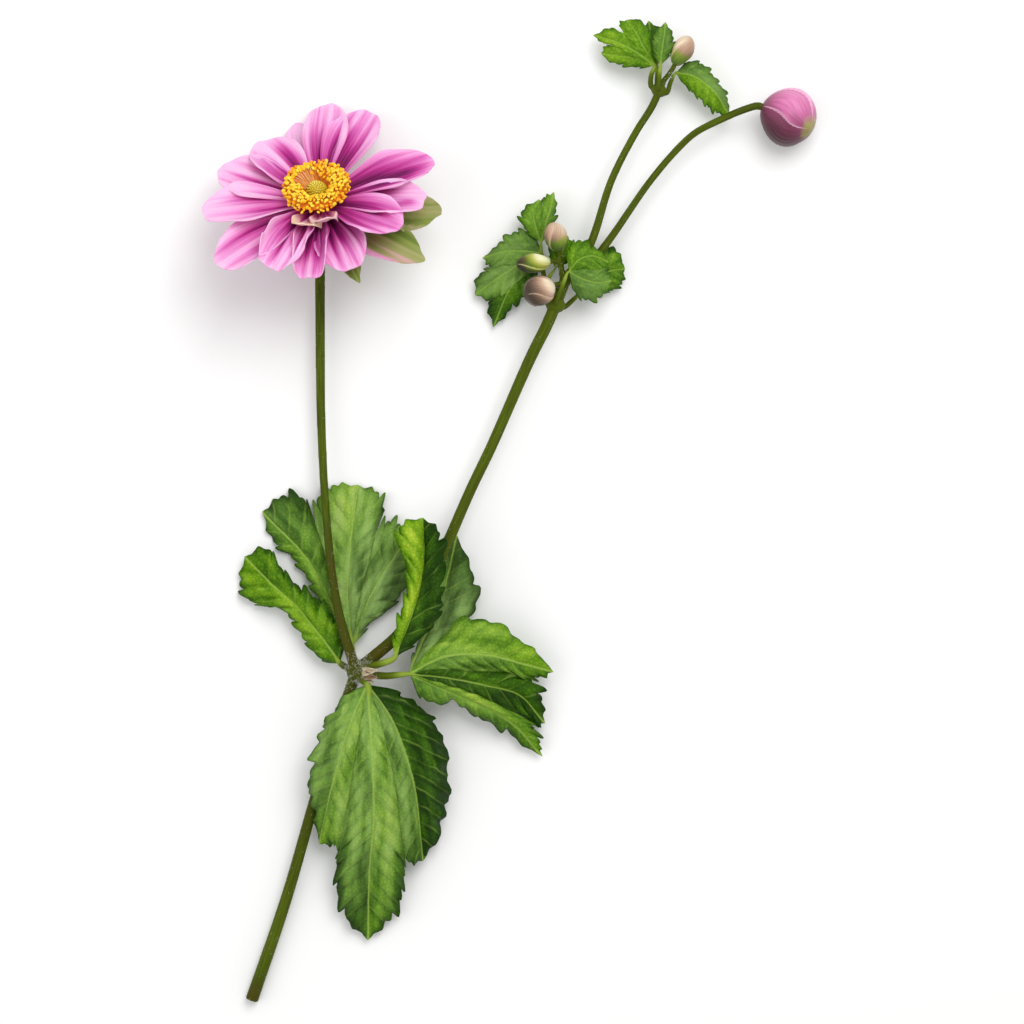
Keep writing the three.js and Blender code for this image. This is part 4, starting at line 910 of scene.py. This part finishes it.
def petalPiece(settings, index, name, *materials):
    # a petal as a grid: it leaves the middle at its azimuth and slope, cups, folds along its length
    # and frills at its tip
    petal = {**petalDefaults, **settings}
    rows, length, folds, frill = petal["rows"], petal["length"], petal["folds"], petal["frill"]
    draw = random.Random(40 + index)
    turns = [draw.uniform(0, 6.28) for _ in range(6)]
    out = outward(petal["azimuth"])
    side = out.cross(facing)
    middle = inFlower(petal["azimuth"], petalRootRadius, petal["height"])
    frames = []
    for i in range(rows + 1):
        slope = math.radians(lerp(petal["rootSlope"], petal["tipSlope"], i / rows))
        forward = out * math.cos(slope) + facing * math.sin(slope)
        if i > 0:
            middle = middle + forward * ((length - petalRootRadius) / rows)
        frames.append((middle, forward, side.cross(forward).normalized()))

    def place(spot):
        t, s = spot.x * 2, spot.y + 0.5
        centre, forward, normal = frames[round(s * rows)]
        half = petal["width"] / 2 * listed(petalOutline, s)
        half += petal["teeth"] * (s * 9 % 1) ** 2 * smooth(0.3, 0.5, s)
        wave = 0.6 * math.sin(math.pi * folds * t + turns[0] * 0.3 + s)
        wave += 0.3 * math.sin(math.pi * (folds + 2.6) * t + turns[1] - s)
        wave += 0.16 * math.sin(math.pi * 10 * t + turns[5])
        lines = smooth(0.02, 0.3, s) * (1 - 0.6 * smooth(0.6, 1.0, s))
        rounding = -length * petal["tipLength"] * (1 - (1 - abs(0.985 * t) ** 1.8) ** (1 / 1.8)) * s ** 3
        rounding -= length * petal["notch"] * bell(t, 0, 0.28) * s ** 6
        scallop = math.sin(6 * t + turns[2]) + 0.5 * math.sin(13 * t + turns[3])
        rounding += min(frill, 0.5) * 0.4 * scallop * s ** 8
        rise = petal["cup"] * t * t * math.sin(math.pi * 0.75 * s)
        rise += petal["foldDepth"] * wave * lines * (1 - 0.5 * abs(t))
        rise += frill * abs(t) ** 3 * smooth(0.3, 0.8, s) * math.sin(9 * s + turns[5] + t)
        rise += frill * 0.5 * s ** 6 * math.sin(7 * t + turns[3])
        # a rolled side turns up and back over the petal
        roll = petal["curl"][t > 0] * max(0.0, abs(t) - 0.45) ** 2 * 3.3 * smooth(0.25, 0.7, s)
        inner = half * t - math.copysign(roll * 0.9, t)
        point = centre + side * inner + forward * rounding + normal * (rise + roll)
        point.z = max(point.z, 0.25)
        shade = sum(
            change * bell(t, across, spread)
            * smooth(start - 0.15, start + 0.1, s) * (1 - smooth(end - 0.2, end + 0.1, s))
            for across, spread, start, end, change in petal["shades"])
        return point, dict(
            blade=(t + 5.3 * index, s), margin=max(abs(t), smooth(0.86, 1.0, s) * 0.8), fold=wave * lines,
            tone=petal["tone"] + petal["shadeDepth"] * shade, cream=petal["cream"] * smooth(0.25, 0.75, s))

    piece = shapedGrid(petal["columns"], rows, name, place)
    cleaned(piece, 0.005, facing)
    for material in materials:
        piece.data.materials.append(material)
    applied(piece, "SOLIDIFY", thickness=petal["thickness"] * mm, offset=0, material_offset=1)
    return piece


def turnedBody(profile, name, segments=48):
    # a round body about the flower's axis: a circle at the foot, extruded and widened ring by ring
    (radius, height), *rings = profile
    bpy.ops.mesh.primitive_circle_add(
        vertices=segments, radius=radius * mm, location=(0, 0, height * mm), fill_type="NGON")
    piece = bpy.context.object
    piece.name = name
    bpy.ops.object.transform_apply(location=True, rotation=True, scale=True)
    with editing(piece):
        for nextRadius, nextHeight in rings:
            bpy.ops.mesh.extrude_region_move(TRANSFORM_OT_translate={"value": (0, 0, (nextHeight - height) * mm)})
            wider = nextRadius / radius
            bpy.ops.transform.resize(value=(wider, wider, 1), center_override=(0, 0, nextHeight * mm))
            radius, height = nextRadius, nextHeight
    axes = Matrix((acrossRight, acrossTop, facing)).transposed().to_4x4()
    piece.matrix_world = Matrix.Translation(flowerCentre * mm) @ axes
    cleaned(piece)
    return piece


blades = [petalPiece(petal, k, f"petal{k}", petalFace, petalBack) for k, petal in enumerate(pinkPetals)]
hub = turnedBody(
    [(hubRadius - 1, hubBottom), (hubRadius, -3.4), (hubRadius - 0.4, hubTop), (1.0, hubTop + 0.2)], "hub")
painted(hub, margin=0.3, fold=-0.5, tone=0.3)
corolla = joined([*blades, hub], "pinkCorolla")
smoothShaded(corolla, 70)
finished(corolla, "pink_petals", "pink_petal", petalFace, petalBack)
print("petals done")

greens = [petalPiece(petal, 20 + k, f"tepal{k}", tepalFace, tepalBack) for k, petal in enumerate(greenPetals)]
calyx = turnedBody([(1.9, calyxBottom - 0.4), (calyxRadius, -5.6), (calyxRadius, hubBottom + 0.1)], "calyx")
painted(calyx, margin=0.3, fold=0.0, tone=0.6)
outer = joined([*greens, calyx], "greenTepals")
smoothShaded(outer, 70)
finished(outer, "green_outer_petals", "green_petal", tepalFace, tepalBack)
print("green outer petals done")

# Stamens and pistil

# collar: the profile that the threads stand on; anther: width, depth and length of a head
stamenSettings = dict(
    foot=-1.6, seed=7, anther=(1.12, 0.95, 1.34), threadRadii=[0.17, 0.15, 0.12], arch=0.6, orange=0.34,
    collar=[(4.6, -2.2), (5.3, -1.6), (6.0, -0.2), (7.6, 1.2), (8.8, 2.4), (8.0, 3.1), (6.4, 3.3), (5.0, 2.6),
            (4.0, 1.2), (3.4, 0.6)])
stamenRings = [dict(zip(("count", "root", "radius", "height"), ring)) for ring in (
    (24, 3.8, 4.6, 3.4), (34, 4.2, 5.4, 4.1), (42, 4.5, 6.3, 4.6), (50, 4.8, 7.3, 4.7), (56, 5.0, 8.3, 4.4),
    (60, 5.2, 9.3, 3.6), (56, 5.3, 9.6, 2.4))]
# between these azimuths the threads lie open to view, from the pistil out to the outer heads
openFan = dict(start=98, end=166, within=7.9, count=28, root=3.4, rise=1.7, arch=0.9)


def antherModel():
    # one anther: a plump oval, pinched along its middle into two sacs
    bpy.ops.mesh.primitive_uv_sphere_add(segments=8, ring_count=6, radius=0.5)
    anther = bpy.context.object
    width, depth, length = stamenSettings["anther"]
    for vertex in anther.data.vertices:
        x, y, z = vertex.co
        vertex.co = Vector((x * width, y * depth * (1 - 0.3 * bell(x, 0, 0.16)), z * length)) * mm
    return anther


def stamenPiece():
    stamen, fan = stamenSettings, openFan
    draw = random.Random(stamen["seed"])
    anther = antherModel()
    anthers, threads, plans = [], [], []
    for ring in stamenRings:
        for i in range(ring["count"]):
            azimuth = (i + 0.7 * draw.random()) / ring["count"] * 360
            top = ring["height"] + (draw.random() - 0.5)
            reach = ring["radius"] + 0.9 * (draw.random() - 0.5)
            if not (fan["start"] < azimuth < fan["end"] and reach < fan["within"]):
                plans.append((azimuth, reach, top, inFlower(azimuth, ring["root"], stamen["foot"]), stamen["arch"]))
    for i in range(fan["count"]):
        azimuth = lerp(fan["start"], fan["end"], (i + draw.random()) / fan["count"])
        reach, top = draw.uniform(6.9, 9.0), draw.uniform(4.3, 5.0)
        plans.append((azimuth, reach, top, inFlower(azimuth, fan["root"], fan["rise"]), fan["arch"]))
    for azimuth, reach, top, root, arch in plans:
        tip = inFlower(azimuth + draw.uniform(-3, 3), reach, top)
        bend = (root + tip) / 2 + facing * arch - outward(azimuth) * 0.3
        threads.append(tube([root, bend, tip], stamen["threadRadii"], "thread", 4, 1.8))
        lean = (outward(azimuth) * draw.uniform(0.4, 1.4) + facing * draw.uniform(0.2, 1.0)
                + outward(azimuth + 90) * draw.uniform(-0.8, 0.8)).normalized()
        turn = Vector((0, 0, 1)).rotation_difference(lean) @ Quaternion((0, 0, 1), draw.uniform(0, 3.1))
        made = copyOf(anther, (tip + facing * 0.3) * mm, turn, [draw.uniform(0.82, 1.12)] * 3)
        # those at the back and low round the outside turn more orange
        rear = max(0.0, math.sin(math.radians(azimuth - 10)))
        low = 0.14 if reach > 9 else 0
        painted(made, tone=draw.uniform(0.2, 0.62) - stamen["orange"] * rear * draw.random() - low)
        anthers.append(made)
    bpy.data.objects.remove(anther)
    for made in threads:
        painted(made, tone=draw.uniform(0.0, 0.4))
    heads, stalks = joined(anthers, "stamenHeads"), joined(threads, "stamenThreads")
    collar = turnedBody(stamen["collar"], "collar")
    painted(collar, tone=-0.03)
    for part, material in ((heads, pollen), (stalks, thread), (collar, pollen)):
        part.data.materials.append(material)
    whole = joined([heads, stalks, collar], "stamenRing")
    smoothShaded(whole, 70)
    finished(whole, "stamens", "stamen")


stamenPiece()
print("stamens done")

pistilSettings = dict(
    radius=3.0, height=3.9, seed=9, carpels=100, width=0.69, length=1.0, goldenTurn=137.508,
    paleTip=0.22, darkFoot=0.12,
    dome=[(2.4, hubTop + 0.1), (2.7, 0.9), (2.6, 2.2), (2.1, 3.2), (1.2, 3.8), (0.3, 4.0)])


def pistilPiece():
    # a dome set all over with carpels, each a small green bulb with a blunt pale tip
    pistil = pistilSettings
    draw = random.Random(pistil["seed"])
    dome = turnedBody(pistil["dome"], "dome")
    painted(dome, tone=0.05)
    bpy.ops.mesh.primitive_cone_add(vertices=6, radius1=0.5, radius2=0.26, depth=1.0)
    bulb = bpy.context.object
    with editing(bulb):
        bpy.ops.mesh.bevel(offset=0.16, segments=1, affect="EDGES")
    for vertex in bulb.data.vertices:
        x, y, z = vertex.co
        vertex.co = Vector((x * pistil["width"], y * pistil["width"], z * pistil["length"])) * mm
    bulbs = []
    for i in range(pistil["carpels"]):
        rise = 1 - (i + 0.5) / pistil["carpels"]
        reach = pistil["radius"] * math.sqrt(1 - rise ** 2) * 0.92
        azimuth = i * pistil["goldenTurn"]
        spot = inFlower(azimuth, reach, 0.9 + rise * (pistil["height"] - 0.6))
        lean = (outward(azimuth) * reach / pistil["radius"] * 1.1 + facing * (rise + 0.25)).normalized()
        turn = Vector((0, 0, 1)).rotation_difference(lean)
        made = copyOf(bulb, spot * mm, turn, [draw.uniform(0.85, 1.15)] * 3)
        # paler towards the top of the dome, each bulb paler at its tip and darker at its foot
        carpelTone = 0.1 + 0.4 * rise ** 2 + draw.uniform(-0.1, 0.1)
        painted(made, tone=[carpelTone + (pistil["paleTip"] if vertex.co.z > 0 else -pistil["darkFoot"])
                            for vertex in made.data.vertices])
        bulbs.append(made)
    bpy.data.objects.remove(bulb)
    whole = joined([dome, *bulbs], "carpelDome")
    smoothShaded(whole, 60)
    finished(whole, "pistil", "pistil", carpel)


pistilPiece()
print("pistil done")

# Buds

lowerWhorl = [15.2, 67.6, 9.4]
upperWhorl = [44.9, 128.3, 9.6]
# light: the side that is painted lit; bias and spread: the painted light and shade tone and how much that
# varies; other: where along the bud the second colour starts and ends; pucker: where the petals close; ribs: how
# deep they crease there
budDefaults = dict(
    segments=96, rings=60, start=0.0, swirl=0.12, neck=-2.1, other=(2.0, 3.0), seam=0.04, ragged=0.08, ribs=0)
buds = dict(
    pink_bud=dict(
        slot="pink_bud", silk=pinkSilk, seat=[74.5, 120.9, 9.4], tip=[90.3, 115.2, 8.2], radius=8.8, petals=4,
        light=(0.4, 0.7, 0.6), bias=0.09, spread=0.56, start=0.3, swirl=0.04, neck=-1.0, other=(0.93, 1.0),
        pucker=(0.76, -0.45, 0.47), segments=160, rings=96, seam=0.03, ragged=0.03, ribs=0.05),
    large_bud=dict(
        slot="silky_bud", silk=tanSilk, seat=[12.3, 67.4, 12.6], tip=[4, 64.2, 17.2], radius=4.8, petals=4,
        root=lowerWhorl, light=(0.8, 0.35, 0.45), bias=-0.09, spread=0.92),
    tan_bud=dict(
        slot="silky_bud", silk=tanSilk, seat=[14, 77.6, 11.6], tip=[12, 86, 13.6], radius=3.5, petals=3,
        root=lowerWhorl, light=(0.3, 0.6, 0.5), bias=0.28, spread=0.36, other=(0.62, 0.36)),
    green_bud=dict(
        slot="green_bud", silk=greenSilk, seat=[11.6, 74.5, 11.8], tip=[1.4, 73.6, 12.2], radius=3, petals=3,
        root=lowerWhorl, light=(0.7, 0.6, 0.5), bias=0.12, spread=0.64, other=(0.66, 0.88)),
    top_bud=dict(
        slot="silky_bud", silk=tanSilk, seat=[48.4, 133.2, 10.8], tip=[53, 141.6, 11.6], radius=3.3, petals=3,
        root=upperWhorl, light=(-0.2, 0.7, 0.5), bias=0.34, spread=0.34, other=(0.55, 0.3)),
)
buds = {node: {**budDefaults, **bud} for node, bud in buds.items()}


def budPiece(node, bud):
    # an egg of petals folded over each other: its radius steps at each petal's edge, and fine
    # veins run from the foot to the tip
    seat, tip, light = (Vector(bud[mark]) for mark in ("seat", "tip", "light"))
    axis, middle = tip - seat, (seat + tip) / 2
    turn = Vector((0, 1, 0)).rotation_difference(axis.normalized())
    # the petals close at a pucker that may sit to one side of the tip
    pull = axis.normalized().rotation_difference(Vector(bud.get("pucker", axis)).normalized())
    low, high = bud["other"]

    def place(spot):
        x, y, z = spot.x, spot.z, -spot.y
        share, girth = (y + 1) / 2, 1 - y * y
        around = (math.atan2(z, x) / (2 * math.pi) + bud["swirl"] * y + bud["start"]) * bud["petals"]
        fold = around % 1
        # the outer petal's edge: a short steep step with a slightly raised rim
        edge = smooth(0.0, 0.05, fold)
        step = 0.1 * (1 - edge + fold * edge)
        rim = 0.018 * bell(fold, 0.03, 0.035) * girth
        veins = 0.006 * math.sin(2 * math.pi * around * 7) * girth
        swell = bud["radius"] * (1 - step * girth + rim + veins) * (1 + 0.08 * y - 0.06 * y * y)
        swell *= 1 + bud["ribs"] * math.sin(2 * math.pi * around * 4) * bell(y, 1, 0.09)
        local = Vector((x * swell, (share + 0.0096 * bell(y, 1, 0.05)) * axis.length, z * swell))
        point = middle + Quaternion().slerp(pull, smooth(0.1, 1, share)) @ (turn @ local + seat - middle)
        point.z = max(point.z, 0.05)
        border = share + bud["ragged"] * noise.noise(point * 0.5)
        # painted light and shade: lighter on the side towards the light, and across each petal lighter at its own
        # edge and darker where it runs under the next petal's edge, as painted shade
        lit = (point - middle).normalized().dot(light.normalized())
        return point, dict(
            blade=(around, share), fold=bell(fold, 0.02, bud["seam"]) * (1 - smooth(0.9, 1, abs(y))) * 0.8,
            tone=bud["bias"] + bud["spread"] * lit - 0.22 * (fold - 0.5) * girth,
            other=smooth(low, high, border) if low < high else 1 - smooth(high, low, border))

    bpy.ops.mesh.primitive_uv_sphere_add(segments=bud["segments"], ring_count=bud["rings"], radius=1)
    piece = shaped(bpy.context.object, node + "_shell", place)
    smoothShaded(piece, 60)
    finished(piece, node, bud["slot"], bud["silk"])


for node, bud in buds.items():
    budPiece(node, bud)
print("buds done")

# Stem


def budNeck(bud):
    # the last two points of a bud's stalk: below its seat and a little way up inside it
    seat = Vector(bud["seat"])
    axis = (Vector(bud["tip"]) - seat).normalized()
    return [seat + axis * share for share in (bud["neck"], 0.5)]


cutEnd = [-78.2, -146.66, 2]
flowerNeck, flowerSeat = (inFlower(0, 0, calyxBottom + rise) for rise in (-4, 0.2))
# the course of each stalk, and its radius along it
stemRuns = [
    ([cutEnd, [-67.7, -115.9, 3.2], [-57.3, -80.3, 6.6], leafNode], [2, 1.8, 1.7, 1.8]),
    ([leafNode, [-51.1, -32.5, 10.2], [-53.5, -20, 9.6], [-55, -7, 8.4], [-56.2, 8, 7], [-57.2, 30, 5.6],
      [-57.4, 50, 5.6], [-57.4, 70, 7.6], [-57.3, 82, 11], flowerNeck, flowerSeat],
     [1.7, 1.4, 1.3, 1.3, 1.4, 1.5, 1.6, 1.8]),
    ([leafNode, [-31.4, -33.7, 10.2], [-20.5, -11.9, 9.8], [-12.3, 6.7, 9.4], [-6.4, 19, 9.2], [5.8, 46.6, 9.2],
      [10.7, 56.4, 9.3], lowerWhorl], [1.9, 1.7, 1.7, 1.9]),
    ([lowerWhorl, [18, 72.5, 9.8], [23, 79.1, 10], [29.7, 99, 9.8], [36.9, 113.2, 9.6], [42, 121.4, 9.5],
      upperWhorl], [1.4, 1.25, 1.15, 1.2]),
    ([lowerWhorl, [18.6, 70.8, 8.8], [25.6, 76.9, 8.4], [41.4, 99, 8.2], [49.6, 108.6, 8.4], [54.7, 113.2, 8.8],
      [63.8, 117.8, 9.6], [69.4, 120.1, 10], *budNeck(buds["pink_bud"])], [1.4, 1.15, 1.1, 1.2]),
    *(([bud["root"], *budNeck(bud)], [0.9, 0.8]) for bud in buds.values() if "root" in bud),
]
# browning: where the stem turns brown, and how far from there
stemSettings = dict(
    voxel=0.42, nodeRadius=2.9, footRadii=[1.9, 1.45, 1.0], browning=[(leafNode, 38.0), (cutEnd, 6.0)])
nodeScales = [
    dict(root=[-45.8, -47.8, 11.4], tip=[-40.2, -46.9, 15.8], width=2.6, tone=0.36),
    dict(root=[-45.6, -48.4, 11.2], tip=[-40.2, -49.2, 16], width=2.8, tone=0.0),
    dict(root=[-45.8, -48.8, 10.8], tip=[-41.6, -50.4, 14.6], width=2.4, tone=0.16),
    dict(root=[-45.6, -47.4, 11.6], tip=[-40.4, -45.8, 14], width=1.8, tone=0.5),
]
stemHairs = [
    dict(count=700, length=1.7, seed=11, thick=0.042, around=leafNode, reach=6.5),
    dict(count=200, length=1.1, seed=12, thick=0.05, around=lowerWhorl, reach=7),
    dict(count=120, length=0.9, seed=14, thick=0.05, around=upperWhorl, reach=5),
    dict(count=900, length=0.8, seed=13, thick=0.03),
]
scaleHairs = dict(count=130, length=1.0, seed=15, thick=0.04)


def scalePiece(scale, name):
    # a small papery scale: broad at its root, pointed, hollow like a spoon
    root, tip = Vector(scale["root"]), Vector(scale["tip"])
    forward = (tip - root).normalized()
    side = forward.cross(Vector((0, 0, 1))).normalized()
    up = side.cross(forward)

    def place(spot):
        t, s = spot.x * 2, spot.y + 0.5
        half = scale["width"] / 2 * listed([0.7, 1, 0.95, 0.6, 0.08], s)
        point = root.lerp(tip, s) + side * (half * t) + up * (0.8 * math.sin(math.pi * s) - 0.7 * (1 - t * t) * s)
        return point, dict(tone=scale["tone"] + 0.25 * abs(t) + 0.15 * math.sin(9 * t))

    piece = shapedGrid(8, 16, name, place)
    applied(piece, "SOLIDIFY", thickness=0.3 * mm, offset=0)
    piece.data.materials.append(scaleBrown)
    return piece


def stemPiece():
    runs, node = list(stemRuns), Vector(leafNode)
    # the swollen foot of each leaf stalk
    for leaf in leaves.values():
        first, second = (Vector(point) for point in [*leaf["stalk"], leaf["base"]][:2])
        runs.append(([node, first, first.lerp(second, 0.5)], stemSettings["footRadii"]))
    pieces = [tube(points, radii, "run", 16, 1.2) for points, radii in runs]
    bpy.ops.mesh.primitive_uv_sphere_add(
        segments=32, ring_count=20, radius=stemSettings["nodeRadius"] * mm, location=node * mm)
    whole = joined([*pieces, bpy.context.object], "stemSkin")
    applied(whole, "REMESH", mode="VOXEL", voxel_size=stemSettings["voxel"] * mm, use_smooth_shade=True)
    applied(whole, "SMOOTH", factor=0.5, iterations=4)
    # how far each point is along its stalk and where it is across it, for the ridges
    samples, travelled = [], 0.0
    for points, _ in runs:
        centres = evenPoints(points, max(4, round(lengthOf(points) / 2)))
        side = Vector((0, 0, 1))
        for a, b in zip(centres, centres[1:]):
            forward = (b - a).normalized()
            side = (side - forward * side.dot(forward)).normalized()
            samples.append(((a + b) / 2, forward, side, travelled))
            travelled += (b - a).length
    tree = KDTree(len(samples))
    for i, sample in enumerate(samples):
        tree.insert(sample[0], i)
    tree.balance()
    unrolled, tones = [], []
    for vertex in whole.data.vertices:
        point = vertex.co / mm
        centre, forward, side, along = samples[tree.find(point)[1]]
        apart = point - centre
        unrolled.extend((apart.dot(side), apart.dot(side.cross(forward)), along + apart.dot(forward)))
        brown = max(bell((point - Vector(spot)).length, 0, reach) for spot, reach in stemSettings["browning"])
        brown *= 0.6 + 0.4 * noise.noise(point * 0.12)
        tones.append(0.24 - 0.22 * brown + 0.08 * noise.noise(point * 0.05))
    whole.data.attributes.new("unrolled", "FLOAT_VECTOR", "POINT").data.foreach_set("vector", unrolled)
    painted(whole, tone=tones)
    whole.data.materials.append(stemSkin)
    scales = joined([scalePiece(scale, f"scale{k}") for k, scale in enumerate(nodeScales)], "scales")
    coats = [hairs(whole, **coat) for coat in stemHairs] + [hairs(scales, **scaleHairs)]
    smoothShaded(scales, 60)
    whole = joined([whole, scales, *coats], "stem_skin")
    finished(whole, "stem", "stem")


stemPiece()
print("stem done")

# Floor

bpy.ops.mesh.primitive_plane_add(size=studio["floorSize"], location=(0, 0, 0))
floor = bpy.context.object
floor.name = "floor"
card, _ = newMaterial("paleCard", Roughness=0.85, Specular_IOR_Level=0.1, Base_Color=linear(studio["floorColour"]))
floor.data.materials.append(card)
